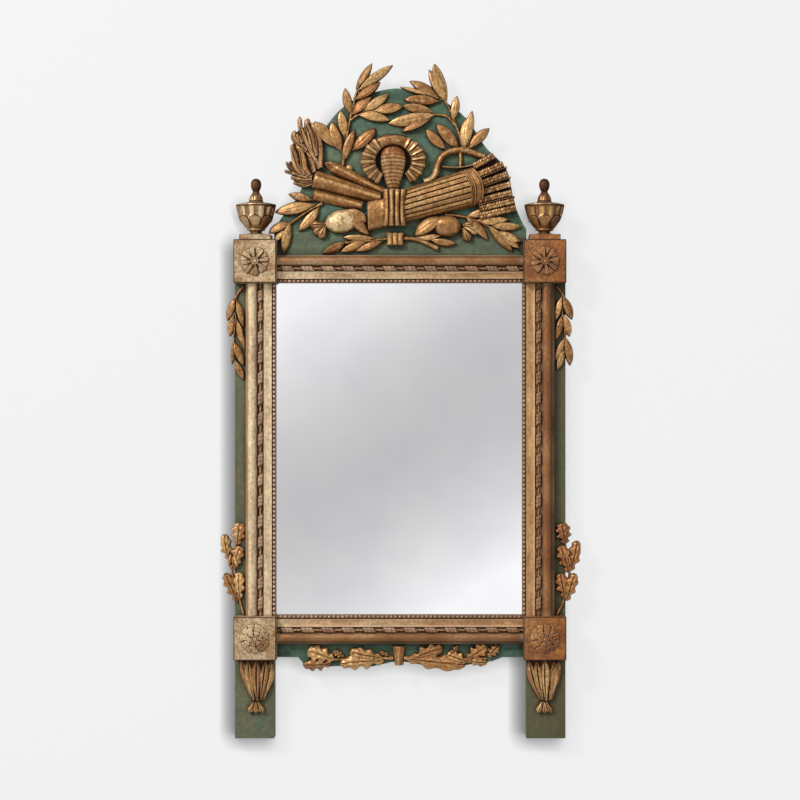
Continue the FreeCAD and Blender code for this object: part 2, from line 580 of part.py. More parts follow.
def bottom_rail():
    """The bottom rail in one board with the shaped apron under it."""
    middle = [on_ground(apron_place(*pair), 0) for pair in APRON_SHARES]
    edge = middle[0].z
    top = -RAIL_EDGE + OVERRUN
    left = on_ground((-OPENING_HALF_WIDTH, edge), 0)
    right = on_ground((OPENING_HALF_WIDTH, edge), 0)
    points = [on_ground((-OPENING_HALF_WIDTH, top), 0), left] + middle
    points += [right, on_ground((OPENING_HALF_WIDTH, top), 0)]
    apron = face(points).extrude(V(0, APRON_THICKNESS, 0))
    return rail(-1).fuse(apron)


def crest_board():
    """The shaped crest board that stands on the top rail between the urns."""
    curve = Part.BSplineCurve()
    curve.interpolate([on_ground(place, 0) for place in crest_places(CREST_OUTLINE_SHARES)])
    start = curve.StartPoint
    end = curve.EndPoint
    low_left = V(start.x, FRONT, RAIL_EDGE)
    low_right = V(end.x, FRONT, RAIL_EDGE)
    wire = Part.Wire([curve.toShape(), Part.makeLine(end, low_right), Part.makeLine(low_right, low_left),
                      Part.makeLine(low_left, start)])
    board = Part.Face(wire).extrude(V(0, CREST_THICKNESS, 0))
    screws = [screw_hole(place) for place in batten_screw_places() if place[1] > RAIL_EDGE]
    return board.cut(Part.makeCompound(screws))


def batten_screw_places():
    """The x and z of the screws that hold the battens to the rail and the crest board."""
    places = []
    for _, side in SIDES:
        for edge in (-1, 1):
            line = side * BATTEN_SPACING / 2 + edge * BATTEN_WIDTH * BATTEN_SCREW_SHARE
            places.append((line, RAIL_EDGE - BATTEN_LAP / 2))
            places.append((line, RAIL_EDGE + BATTEN_LAP))
            places.append((line, BATTEN_FOOT + BATTEN_REACH - BATTEN_LAP))
    return places


def hanger_screw_places():
    """The x and z of the screws that hold the hanger straps to the battens."""
    places = []
    for _, side in SIDES:
        for share in STRAP_SCREW_SHARES:
            places.append((side * BATTEN_SPACING / 2, HANGER_AXIS_LEVEL + STRAP_LENGTH * share))
    return places


def screw(place, back=BATTEN_BACK, clearance=0, length=SCREW_LENGTH):
    """A countersunk wood screw driven in from the back, or the hole for it."""
    shank = SCREW_SHANK_DIAMETER / 2 + clearance
    head = SCREW_HEAD_DIAMETER / 2 + clearance
    neck = V(place[0], back - SCREW_HEAD_DEPTH, place[1])
    tip = V(place[0], back - length - clearance, place[1])
    return Part.makeCone(shank, head, SCREW_HEAD_DEPTH, neck, V(0, 1, 0)).fuse(rod(shank, tip, neck))


def screw_hole(place, back=BATTEN_BACK, length=SCREW_LENGTH):
    """The countersunk hole for a screw."""
    mouth = V(place[0], back, place[1])
    head = SCREW_HEAD_DIAMETER / 2 + SCREW_CLEARANCE
    opened = rod(head, mouth, mouth + V(0, OVERRUN, 0))
    return screw(place, back, SCREW_CLEARANCE, length).fuse(opened)


def crest_batten(side):
    """An upright batten behind the crest, drilled for its screws and its hanger's."""
    upright = box(batten_span(side), (FRONT + CREST_THICKNESS, BATTEN_BACK),
                  (BATTEN_FOOT, BATTEN_FOOT + BATTEN_REACH))
    holes = [screw_hole(place) for place in batten_screw_places() if place[0] * side > 0]
    for place in hanger_screw_places():
        if place[0] * side > 0:
            holes.append(screw_hole(place, STRAP_BACK, HANGER_SCREW_LENGTH))
    return upright.cut(Part.makeCompound(holes))


def run_frame(upright, side):
    """How a straight moulding lies: its middle, its direction, its outward direction and its length."""
    if upright:
        return V(0, FRONT, upright * SIGHT_HALF_HEIGHT), V(1, 0, 0), V(0, 0, upright), SIGHT_WIDTH
    return V(side * SIGHT_HALF_WIDTH, FRONT, 0), V(0, 0, 1), V(side, 0, 0), SIGHT_HEIGHT


def moulding(upright, side, width):
    """A straight gilt moulding: outer torus, channel with a ribbon twist, inner band."""
    middle, along, outward, length = run_frame(upright, side)
    own_width = width - PEARL_STRIP_WIDTH
    start = middle - along * (length / 2)

    def point(share, relief_share):
        across = outward * (width - share * own_width)
        return start + across + V(0, -relief_share * MOULDING_RELIEF, 0)

    edges = []
    for shares in (FILLET_SHARES, CHANNEL_SHARES):
        for near, far in zip(shares, shares[1:]):
            edges.append(Part.makeLine(point(*near), point(*far)))
    for shares in (TORUS_SHARES, BAND_SHARES):
        edges.append(Part.Arc(point(*shares[0]), point(*shares[1]), point(*shares[2])).toShape())
    edges.append(Part.makeLine(point(*BAND_SHARES[-1]), point(1, 0)))
    edges.append(Part.makeLine(point(1, 0), point(0, 0)))
    body = Part.Face(Part.Wire(Part.__sortEdges__(edges))).extrude(along * length)
    floor = middle + outward * (width - CHANNEL_CENTRE_SHARE * own_width)
    floor = floor + V(0, -CHANNEL_FLOOR_SHARE * MOULDING_RELIEF, 0)
    return [body, ribbon_twist(floor, along, outward, length)]


def ribbon_twist(floor, along, outward, length):
    """A ribbon wound round a cord: slanting wraps with the cord between them."""
    lift = V(0, -1, 0)
    cord = []
    for end in (-1, 1):
        centre = floor + along * (end * length / 2)
        half = outward * (TWIST_CORD_WIDTH / 2)
        top = lift * TWIST_CORD_RELIEF
        inner = half * CORD_TOP_SHARE
        cord.append([centre - half, centre - inner + top, centre + inner + top, centre + half])
    pieces = [skin(cord)]
    count = int(length // TWIST_PITCH)
    for index in range(count):
        centre = floor + along * ((index - (count - 1) / 2) * TWIST_PITCH)
        loops = []
        for step, height_share in WRAP_HEIGHT_SHARES:
            middle = centre + outward * (step * TWIST_WIDTH / 2) + along * (step * TWIST_SLANT / 2)
            half = along * (TWIST_WRAP_LENGTH / 2)
            top = lift * (TWIST_RELIEF * height_share)
            inner = half * WRAP_TOP_SHARE
            loops.append([middle - half, middle - inner + top, middle + inner + top, middle + half])
        pieces.append(skin(loops))
    return fuse(pieces)


def pearl_strip(upright, side):
    """The slip at the sight edge, with its row of half-round pearls."""
    middle, along, outward, length = run_frame(upright, side)
    near = middle - along * (length / 2)
    far = middle + along * (length / 2) + outward * PEARL_STRIP_WIDTH
    base = box((near.x, far.x), (FRONT, FRONT - PEARL_STRIP_RELIEF), (near.z, far.z))
    line = middle + outward * (PEARL_STRIP_WIDTH / 2) + V(0, -PEARL_STRIP_RELIEF, 0)
    return [base, beading(line, along, length)]


def beading(line, along, length):
    """A row of half pearls joined by necks, on its flat back."""
    radius = PEARL_DIAMETER / 2
    neck = PEARL_NECK_DIAMETER / 2
    reach = math.sqrt(radius ** 2 - neck ** 2)
    count = int(length // PEARL_PITCH)
    edges = []
    last = V(-length / 2, 0, 0)
    corner = V(-length / 2, 0, neck)
    edges.append(Part.makeLine(last, corner))
    for index in range(count):
        centre = (index - (count - 1) / 2) * PEARL_PITCH
        start = V(centre - reach, 0, neck)
        end = V(centre + reach, 0, neck)
        edges.append(Part.makeLine(corner, start))
        edges.append(Part.Arc(start, V(centre, 0, radius), end).toShape())
        corner = end
    shoulder = V(length / 2, 0, neck)
    edges.append(Part.makeLine(corner, shoulder))
    edges.append(Part.makeLine(shoulder, V(length / 2, 0, 0)))
    edges.append(Part.makeLine(V(length / 2, 0, 0), last))
    row = Part.Face(Part.Wire(edges)).revolve(V(0, 0, 0), V(1, 0, 0), 180)
    if abs(along.z) > 0:
        row.rotate(V(0, 0, 0), V(0, 1, 0), -90)
    row.translate(line)
    return row


def corner_block(upright, side):
    """A square block over the corner, sunk in front for its rosette."""
    centre = V(side * BLOCK_CENTRE, BLOCK_FRONT, upright * (SIGHT_HALF_HEIGHT + BLOCK_HEIGHT / 2))
    block = box((side * SIGHT_HALF_WIDTH, side * OUTER_HALF_WIDTH), (BLOCK_FRONT, FRONT),
                (upright * SIGHT_HALF_HEIGHT, upright * BLOCK_EDGE))
    radius = ROSETTE_DIAMETER / 2 + ROSETTE_MARGIN
    sunk = rod(radius, centre - V(0, OVERRUN, 0), centre + V(0, ROSETTE_SINKING, 0))
    block = block.cut(sunk)
    if upright > 0:
        top = V(centre.x, URN_LINE, BLOCK_EDGE)
        bore = SPIGOT_DIAMETER / 2 + SPIGOT_CLEARANCE
        hole = rod(bore, top - V(0, 0, SPIGOT_LENGTH + OVERRUN), top + V(0, 0, OVERRUN))
        block = block.cut(hole)
    return block


def rosette(upright, side):
    """A carved flower of cupped petals, in rings round a button."""
    centre = (side * BLOCK_CENTRE, upright * (SIGHT_HALF_HEIGHT + BLOCK_HEIGHT / 2))
    ground = BLOCK_FRONT + ROSETTE_SINKING
    hub = on_ground(centre, 0, ground)
    pieces = [rod(ROSETTE_BUTTON_DIAMETER / 2, hub, hub - V(0, ROSETTE_RELIEF, 0))]
    root = ROSETTE_BUTTON_DIAMETER * PETAL_ROOT_SHARE
    for count, turn_share, reach_share, relief_share, width_share in ROSETTE_RING_SHARES:
        length = ROSETTE_DIAMETER / 2 * reach_share
        width = 2 * math.pi * length / count * width_share
        for index in range(count):
            turn = 2 * math.pi * (index + turn_share) / count
            base = (centre[0] + root * math.cos(turn), centre[1] + root * math.sin(turn))
            tip = (centre[0] + length * math.cos(turn), centre[1] + length * math.sin(turn))
            pieces.append(leaf(base, tip, width, ROSETTE_RELIEF * relief_share, PETAL_SHARES, ground))
    return fuse(pieces)


def urn_plinth(side):
    """The square slab under an urn, bored for its spigot."""
    centre = side * BLOCK_CENTRE
    half = PLINTH_WIDTH / 2
    slab = box((centre - half, centre + half), (URN_LINE - half, URN_LINE + half), (BLOCK_EDGE, URN_BASE))
    foot = V(centre, URN_LINE, BLOCK_EDGE - OVERRUN)
    bore = SPIGOT_DIAMETER / 2 + SPIGOT_CLEARANCE
    return slab.cut(rod(bore, foot, foot + V(0, 0, PLINTH_HEIGHT + 2 * OVERRUN)))


def turned(outline, centre):
    """A turned piece from rows of radius and height, where a row of three points is an arc."""
    edges = []
    for row in outline:
        points = [V(radius, 0, height) for radius, height in row]
        if len(row) == 3:
            edges.append(Part.Arc(*points).toShape())
        else:
            edges.append(Part.makeLine(*points))
    piece = Part.Face(Part.Wire(edges)).revolve(V(0, 0, 0), V(0, 0, 1), 360)
    piece.translate(centre)
    return piece


def urn(side):
    """The urn's turned foot, neck and bowl, with the spigot that enters the block."""
    foot = URN_FOOT_DIAMETER / 2
    neck = URN_NECK_DIAMETER / 2
    low_flare, high_flare = [neck * share for share in NECK_FLARE_SHARES]
    rim = URN_DIAMETER / 2
    belly, waist = [rim * share for share in BOWL_SHARES]
    edge = rim * RIM_EDGE_SHARE
    lip = URN_RIM_HEIGHT - URN_RIM_LIP
    bulge = (URN_BOWL_BOTTOM + lip) / 2
    outline = (
        ((0, 0), (foot, 0)), ((foot, 0), (foot, URN_FOOT_HEIGHT / 2)),
        ((foot, URN_FOOT_HEIGHT / 2), (low_flare, URN_FOOT_HEIGHT), (neck, URN_NECK_HEIGHT)),
        ((neck, URN_NECK_HEIGHT), (high_flare, URN_BOWL_BOTTOM)),
        ((high_flare, URN_BOWL_BOTTOM), (belly, bulge), (waist, lip)),
        ((waist, lip), (rim, lip + URN_RIM_LIP / 2), (edge, URN_RIM_HEIGHT)),
        ((edge, URN_RIM_HEIGHT), (0, URN_RIM_HEIGHT)), ((0, URN_RIM_HEIGHT), (0, 0)),
    )
    base = V(side * BLOCK_CENTRE, URN_LINE, URN_BASE)
    spigot_foot = base - V(0, 0, PLINTH_HEIGHT + SPIGOT_LENGTH)
    spigot = rod(SPIGOT_DIAMETER / 2, spigot_foot, base + V(0, 0, URN_FOOT_HEIGHT))
    bore = SPIGOT_DIAMETER / 2 + SPIGOT_CLEARANCE
    floor = base + V(0, 0, URN_RIM_HEIGHT - SPIGOT_LENGTH)
    socket = rod(bore, floor, floor + V(0, 0, SPIGOT_LENGTH + OVERRUN))
    return turned(outline, base).fuse(spigot).cut(socket)


def urn_lid(side):
    """The urn's lid with its egg-shaped knop and the spigot that enters the bowl."""
    radius = URN_LID_DIAMETER / 2
    lid = [(radius * out, URN_LID_HEIGHT * up) for out, up in LID_SHARES]
    radius = URN_KNOP_DIAMETER / 2
    egg = [(radius * out, URN_LID_HEIGHT + URN_KNOP_HEIGHT * up) for out, up in KNOP_SHARES]
    top = (0, egg[4][1])
    outline = (
        ((0, 0), lid[0]), (lid[0], lid[1], lid[2]), (lid[2], egg[0]), (egg[0], egg[1], egg[2]),
        (egg[2], egg[3], egg[4]), (egg[4], top), (top, (0, 0)),
    )
    base = V(side * BLOCK_CENTRE, URN_LINE, URN_BASE + URN_RIM_HEIGHT)
    spigot_foot = base - V(0, 0, SPIGOT_LENGTH - SPIGOT_CLEARANCE)
    spigot = rod(SPIGOT_DIAMETER / 2, spigot_foot, base + V(0, 0, URN_LID_HEIGHT / 2))
    return turned(outline, base).fuse(spigot)


def bar(start, end, start_width, end_width, relief):
    """A tapered bar with a flat back, two sloping sides and a narrow top."""
    near = on_ground(start, 0)
    far = on_ground(end, 0)
    run = far - near
    across = V(run.z, 0, -run.x).normalize()
    lift = V(0, -relief, 0)
    out_share, up_share = BAR_SHOULDER_SHARES
    loops = []
    for point, width in ((near, start_width), (far, end_width)):
        half = across * (width / 2)
        shoulder = half * out_share
        ridge = half * BAR_RIDGE_SHARE
        loops.append([point - half, point - shoulder + lift * up_share, point - ridge + lift,
                      point + ridge + lift, point + shoulder + lift * up_share, point + half])
    return skin(loops)


def torch():
    """The torch: a middle stave between two thinner ones."""
    centre = crest_places(TORCH_CENTRE_SHARES)
    upper = crest_places(TORCH_UPPER_SHARES)
    lower = crest_places(TORCH_LOWER_SHARES)
    tip = TORCH_TIP_WIDTH_SHARE
    return fuse([
        bar(centre[0], centre[1], TORCH_WIDTH, TORCH_WIDTH * tip, TORCH_RELIEF),
        bar(upper[0], upper[1], STAVE_WIDTH * tip, STAVE_WIDTH, STAVE_RELIEF),
        bar(lower[0], lower[1], STAVE_WIDTH, STAVE_WIDTH * tip, STAVE_RELIEF),
    ])


def flames():
    """The torch's flame: long tongues that spring from its mouth."""
    return fuse(leaves(FLAME_TONGUE_SHARES, crest_place, FLAME_RELIEF, FLAME_SHARES))


def quiver():
    """The fluted quiver, flaring from its butt to the band at its mouth."""
    butt = on_ground(crest_place(*QUIVER_BUTT_SHARES), 0)
    mouth = on_ground(crest_place(*QUIVER_MOUTH_SHARES), 0)
    run = (mouth - butt).normalize()
    across = V(run.z, 0, -run.x)
    body = skin([fluted_loop(butt, across, QUIVER_BUTT_WIDTH), fluted_loop(mouth, across, QUIVER_MOUTH_WIDTH)])
    start = mouth - run * OVERRUN
    low_share, high_share = QUIVER_BAND_SHARES
    band = skin([arch_loop(start, across, QUIVER_RELIEF * low_share),
                 arch_loop(start + run * QUIVER_BAND_LENGTH, across, QUIVER_RELIEF * high_share)])
    return fuse([body, band])


def arch_point(point, across, width, relief, share):
    """A point on a half oval over the ground, at a share of the way round it."""
    turn = math.pi * share
    return point - across * (math.cos(turn) * width / 2) + V(0, -math.sin(turn) * relief, 0)


def arch_loop(point, across, relief):
    """A flat-backed half-oval section of the quiver's band."""
    return [arch_point(point, across, QUIVER_BAND_WIDTH, relief, index / BAND_STEPS)
            for index in range(BAND_STEPS + 1)]


def fluted_loop(point, across, width):
    """A flat-backed arched section with a rounded flute between each pair of grooves."""
    loop = []
    for index in range(2 * QUIVER_FLUTES + 1):
        relief = QUIVER_RELIEF if index % 2 else QUIVER_RELIEF * QUIVER_GROOVE_SHARE
        loop.append(arch_point(point, across, width, relief, index / (2 * QUIVER_FLUTES)))
    return loop


def arrows():
    """The feathered ends of the arrows that stand out of the quiver."""
    return fuse(leaves(ARROW_SHARES, crest_place, ARROW_RELIEF, VANE_SHARES))


def bow():
    """The bow's upper limb with its curled horn, and its string."""
    limb = stem(crest_places(BOW_SHARES), BOW_WIDTH, BOW_RELIEF)
    horn_place = crest_place(*BOW_HORN_SHARES)
    horn_start = (horn_place[0] - BOW_HORN_DIAMETER, horn_place[1] - BOW_HORN_DIAMETER / 4)
    horn_width = BOW_HORN_DIAMETER * BOW_HORN_WIDTH_SHARE
    horn = bar(horn_start, crest_place(*BOW_SHARES[0]), horn_width, BOW_WIDTH, BOW_RELIEF)
    string = stem(crest_places(STRING_SHARES), STRING_WIDTH, STRING_RELIEF)
    return fuse([limb, horn, string])


def ribbon_bow():
    """The pleated ribbon: a ring of two loops round a pleated tongue."""
    centre = crest_place(*RIBBON_CENTRE_SHARES)
    loops = []
    steps = 2 * RIBBON_PLEATS
    inner_share, outer_share = RIBBON_LOOP_RELIEF_SHARES
    sweep = RIBBON_END_DEGREES - RIBBON_START_DEGREES
    for index in range(steps + 1):
        turn = math.radians(RIBBON_START_DEGREES + sweep * index / steps)
        relief = RIBBON_RELIEF - (RIBBON_PLEAT_DEPTH if index % 2 else 0)
        inner = ring_point(centre, turn, RIBBON_INNER_SHARES)
        outer = ring_point(centre, turn, RIBBON_OUTER_SHARES)
        lift = V(0, -relief, 0)
        loops.append([inner, inner + lift * inner_share, (inner + outer) / 2 + lift,
                      outer + lift * outer_share, outer])
    ring = skin(loops)
    return fuse([ring, ribbon_tongue()])


def ring_point(centre, turn, radius_shares):
    """A point on an oval round the centre, on the ground."""
    return on_ground((centre[0] + radius_shares[0] * CREST_WIDTH * math.cos(turn),
                      centre[1] + radius_shares[1] * CREST_WIDTH * math.sin(turn)), 0)


def ribbon_tongue():
    """The middle loop of the ribbon, seen from its front as a pleated tongue."""
    line_share, low_share, high_share = RIBBON_TONGUE_SHARES
    low = crest_place(line_share, low_share)
    high = crest_place(line_share, high_share)
    return leaf(low, high, RIBBON_TONGUE_WIDTH, RIBBON_RELIEF, TONGUE_SHARES)


def strands(place_shares, width, relief, count):
    """A tie of upright strands side by side, between two levels on the crest."""
    line_share, low_share, high_share = place_shares
    x_line, low = crest_place(line_share, low_share)
    high = crest_place(line_share, high_share)[1]
    loops = []
    for level, swell in zip((low, (low + high) / 2, high), STRAND_SWELL_SHARES):
        half = width / 2 * swell
        edge = relief * STRAND_EDGE_SHARE
        points = [on_ground((x_line - half, level), 0), on_ground((x_line - half, level), edge)]
        for index in range(2 * count - 1):
            offset = -half + 2 * half * (index + 1) / (2 * count)
            height = relief * STRAND_GROOVE_SHARE if index % 2 else relief
            points.append(on_ground((x_line + offset, level), height))
        points += [on_ground((x_line + half, level), edge), on_ground((x_line + half, level), 0)]
        loops.append(points)
    return skin(loops)


def ribbon_tie():
    """The ribbon wound round the torch and the quiver."""
    return strands(RIBBON_TIE_SHARES, RIBBON_TIE_WIDTH, RIBBON_TIE_RELIEF, RIBBON_TIE_STRANDS)


def stem_tie():
    """The short tie that holds the two rose stems together."""
    return strands(STEM_TIE_SHARES, STEM_TIE_WIDTH, STEM_TIE_RELIEF, RIBBON_TIE_STRANDS - 1)


def laurel_branch_left():
    """The tall laurel branch over the torch, with one berry at its foot."""
    pieces = leaves(LEFT_BRANCH_SHARES, crest_place, LEAF_RELIEF)
    pieces.append(stem(crest_places(LEFT_BRANCH_STEM_SHARES), STEM_WIDTH, STEM_RELIEF))
    pieces.append(stem(crest_places(LEFT_ARM_SHARES), STEM_WIDTH, STEM_RELIEF))
    centre = on_ground(crest_place(*BERRY_SHARES), 0)
    radius = BERRY_DIAMETER / 2
    berry = Part.makeSphere(radius, centre - V(0, radius * BERRY_BASE_SHARE, 0))
    shield = box((centre.x - BERRY_DIAMETER, centre.x + BERRY_DIAMETER), (FRONT, FRONT + BERRY_DIAMETER),
                 (centre.z - BERRY_DIAMETER, centre.z + BERRY_DIAMETER))
    return Part.makeCompound([fuse(pieces), berry.cut(shield)])


def laurel_branch_right():
    """The tall laurel branch over the quiver."""
    pieces = leaves(RIGHT_BRANCH_SHARES, crest_place, LEAF_RELIEF)
    for places in (RIGHT_BRANCH_STEM_SHARES, RIGHT_ARM_SHARES, RIGHT_FORK_SHARES):
        pieces.append(stem(crest_places(places), STEM_WIDTH, STEM_RELIEF))
    return fuse(pieces)


def laurel_spray(rows, stem_rows):
    """A low spray of laurel beside the crest's foot."""
    pieces = leaves(rows, crest_place, LEAF_RELIEF)
    pieces.append(stem(crest_places(stem_rows), STEM_WIDTH, STEM_RELIEF))
    return fuse(pieces)


def rose_stem(body_rows, leaf_rows, stem_rows, bud_rows):
    """A rose stem: its full hip, the leaves beside it and the bud at its end."""
    start, end = crest_places(body_rows)
    pieces = [leaf(start, end, ROSE_WIDTH, ROSE_RELIEF, BULB_SHARES)]
    pieces += leaves(leaf_rows, crest_place, LEAF_RELIEF)
    pieces.append(stem(crest_places(stem_rows), STEM_WIDTH, STEM_RELIEF))
    for base_u, base_v, tip_u, tip_v in bud_rows:
        pieces.append(leaf(crest_place(base_u, base_v), crest_place(tip_u, tip_v), BUD_WIDTH / 2, BUD_RELIEF,
                           PETAL_SHARES))
    return fuse(pieces)


def laurel_drop(side, rows, stem_rows):
    """A drop of laurel that hangs beside the moulding, under the top block."""
    place = outward_place(side, LAUREL_DROP_HEIGHT, SIGHT_HALF_HEIGHT)
    pieces = leaves(rows, place, SIDE_LEAF_RELIEF)
    pieces.append(stem([place(*pair) for pair in stem_rows], SIDE_STEM_WIDTH, SIDE_STEM_RELIEF))
    return fuse(pieces)


def oak_spray(side, rows, stem_rows, acorn_rows):
    """A spray of oak leaves and acorns beside the moulding, over the bottom block."""
    place = outward_place(side, OAK_SPRAY_HEIGHT, -SIGHT_HALF_HEIGHT)
    pieces = leaves(rows, place, OAK_RELIEF, OAK_SHARES)
    pieces.append(stem([place(*pair) for pair in stem_rows], SIDE_STEM_WIDTH, SIDE_STEM_RELIEF))
    for base_u, base_v, tip_u, tip_v in acorn_rows:
        pieces.append(leaf(place(base_u, base_v), place(tip_u, tip_v), ACORN_WIDTH / 2, ACORN_RELIEF,
                           BULB_SHARES))
    return fuse(pieces)


def husk(side):
    """A bell-flower husk on the leg under the bottom block."""
    def place(u_share, down_share):
        return (side * BLOCK_CENTRE + u_share * HUSK_WIDTH, -BLOCK_EDGE - down_share * HUSK_HEIGHT)
    pieces = leaves(HUSK_LEAF_SHARES, place, HUSK_RELIEF, HUSK_SHARES)
    for base_u, base_v, tip_u, tip_v in HUSK_BUD_SHARES:
        pieces.append(leaf(place(base_u, base_v), place(tip_u, tip_v), HUSK_WIDTH * HUSK_BUD_WIDTH_SHARE / 2,
                           HUSK_RELIEF, PETAL_SHARES))
    return fuse(pieces)


def oak_garland(rows, stem_rows):
    """Half of the oak garland on the apron."""
    pieces = leaves(rows, apron_place, GARLAND_RELIEF, OAK_SHARES)
    pieces.append(stem([apron_place(*pair) for pair in stem_rows], GARLAND_STEM_WIDTH, STEM_RELIEF))
    return fuse(pieces)


def garland_clasp():
    """The clasp that holds the two halves of the garland together."""
    line_share, low_share, high_share = CLASP_SHARES
    low = apron_place(line_share, low_share)
    high = apron_place(line_share, high_share)
    return bar(low, high, CLASP_WIDTH, CLASP_WIDTH, CLASP_RELIEF)


def mirror_glass():
    """The silvered plate, held between the rails and the stiles behind the pearl strips."""
    half_width = OPENING_HALF_WIDTH - GLASS_PLAY
    half_height = OPENING_HALF_HEIGHT - GLASS_PLAY
    return box((-half_width, half_width), (FRONT, FRONT + GLASS_THICKNESS), (-half_height, half_height))


def glass_blocks():
    """Small blocks glued to the frame behind the glass."""
    back = FRONT + GLASS_THICKNESS
    blocks = []
    for share in GLASS_BLOCK_SHARES:
        level = share * OPENING_HALF_HEIGHT
        for _, side in SIDES:
            edge = side * OPENING_HALF_WIDTH
            blocks.append(box((edge, edge - side * GLASS_BLOCK_WIDTH), (back, back + GLASS_BLOCK_WIDTH),
                              (level - GLASS_BLOCK_LENGTH / 2, level + GLASS_BLOCK_LENGTH / 2)))
    for upright in (-1, 1):
        for _, side in SIDES:
            line = side * OPENING_HALF_WIDTH / 2
            edge = upright * OPENING_HALF_HEIGHT
            blocks.append(box((line - GLASS_BLOCK_LENGTH / 2, line + GLASS_BLOCK_LENGTH / 2),
                              (back, back + GLASS_BLOCK_WIDTH), (edge, edge - upright * GLASS_BLOCK_WIDTH)))
    return blocks


def nail_places():
    """The x and z of the nails that hold the back boards in their rebates."""
    places = []
    height = (2 * BOARD_HALF_HEIGHT) / BOARD_COUNT
    for index in range(BOARD_COUNT):
        middle = -BOARD_HALF_HEIGHT + (index + 0.5) * height
        for step in (-1, 1):
            for _, side in SIDES:
                places.append((side * (BOARD_HALF_WIDTH - BOARD_LAP / 2), middle + step * height / 4))
    return places


def nail(place, clearance=0, overrun=0):
    """A back-board nail with a sunk head, or the hole for it."""
    head_floor = V(place[0], -NAIL_HEAD_DEPTH, place[1])
    tip = V(place[0], -NAIL_LENGTH - clearance, place[1])
    head = rod(NAIL_HEAD_DIAMETER / 2 + clearance, head_floor, V(place[0], overrun, place[1]))
    return head.fuse(rod(NAIL_DIAMETER / 2 + clearance, tip, head_floor))


def back_boards():
    """Thin boards side by side in the rebate, flush with the back."""
    edge = BOARD_HALF_HEIGHT - JOINT_CLEARANCE
    height = (2 * edge - (BOARD_COUNT - 1) * BOARD_GAP) / BOARD_COUNT
    half_width = BOARD_HALF_WIDTH - JOINT_CLEARANCE
    holes = Part.makeCompound([nail(place, SCREW_CLEARANCE, OVERRUN) for place in nail_places()])
    boards = []
    for index in range(BOARD_COUNT):
        low = -edge + index * (height + BOARD_GAP)
        board = box((-half_width, half_width), (-BOARD_THICKNESS, 0), (low, low + height))
        boards.append(board.cut(holes))
    return boards


def hanger_strap(side):
    """A strap with an eye at its foot for the ring, screwed to the back of a batten."""
    line = side * BATTEN_SPACING / 2
    half = STRAP_WIDTH / 2
    plate = box((line - half, line + half), (BATTEN_BACK, STRAP_BACK),
                (HANGER_AXIS_LEVEL, HANGER_AXIS_LEVEL + STRAP_LENGTH))
    bore = RING_WIRE_DIAMETER / 2 + RING_RUNNING_CLEARANCE
    start = V(line - STRAP_EYE_LENGTH / 2, RING_AXIS_DEPTH, HANGER_AXIS_LEVEL)
    run = V(STRAP_EYE_LENGTH, 0, 0)
    eye = rod(bore + STRAP_EYE_WALL, start, start + run)
    tunnel = rod(bore, start - run, start + run * 2)
    holes = []
    for place in hanger_screw_places():
        if place[0] * side > 0:
            holes.append(screw_hole(place, STRAP_BACK, HANGER_SCREW_LENGTH))
    return plate.fuse(eye).cut(Part.makeCompound([tunnel] + holes))


def hanging_ring(side):
    """A wire ring through the strap's eye, with a straight top and a round foot."""
    line = side * BATTEN_SPACING / 2
    half = RING_WIDTH / 2
    level = HANGER_AXIS_LEVEL
    shoulder = level - RING_HEIGHT + half
    corner_left = V(line - half, RING_AXIS_DEPTH, level)
    corner_right = V(line + half, RING_AXIS_DEPTH, level)
    low_left = V(line - half, RING_AXIS_DEPTH, shoulder)
    low_right = V(line + half, RING_AXIS_DEPTH, shoulder)
    bottom = V(line, RING_AXIS_DEPTH, level - RING_HEIGHT)
    radius = RING_WIRE_DIAMETER / 2
    bend = Part.Wire([Part.Arc(low_left, bottom, low_right).toShape()])
    section = Part.Wire([Part.makeCircle(radius, low_left, V(0, 0, 1))])
    foot = bend.makePipeShell([section], True, False)
    pieces = [rod(radius, corner_left, corner_right), rod(radius, corner_left, low_left), foot]
    pieces.append(rod(radius, corner_right, low_right))
    for corner in (corner_left, corner_right):
        pieces.append(Part.makeSphere(radius, corner))
    return fuse(pieces)


def wood_screws():
    """All the wood screws of the battens and the hanger straps."""
    made = [screw(place) for place in batten_screw_places()]
    for place in hanger_screw_places():
        made.append(screw(place, STRAP_BACK, 0, HANGER_SCREW_LENGTH))
    return made


def export(name, shapes):
    """Write one named piece, or group of pieces, to its file."""
    solids = [solid for shape in shapes for solid in shape.Solids]
    Part.makeCompound(solids).exportStep("parts/" + name + ".step")
    state = "valid" if all(solid.isValid() for solid in solids) else "INVALID"
    print(name, len(solids), "solids", state)


def carcass_pieces():
    """The painted pine frame and the boards behind it."""
    pieces = {"rail_top": [top_rail()], "rail_bottom": [bottom_rail()], "crest_board": [crest_board()]}
    nails = Part.makeCompound([nail(place, SCREW_CLEARANCE, OVERRUN) for place in nail_places()])
    for name, side in SIDES:
        pieces["stile_" + name] = [stile(side).cut(nails)]
        pieces["crest_batten_" + name] = [crest_batten(side)]
    pieces["backboards"] = back_boards()
    pieces["glass_blocks"] = glass_blocks()
    pieces["mirror_glass"] = [mirror_glass()]
    pieces["backboard_nails"] = [nail(place) for place in nail_places()]
    return pieces


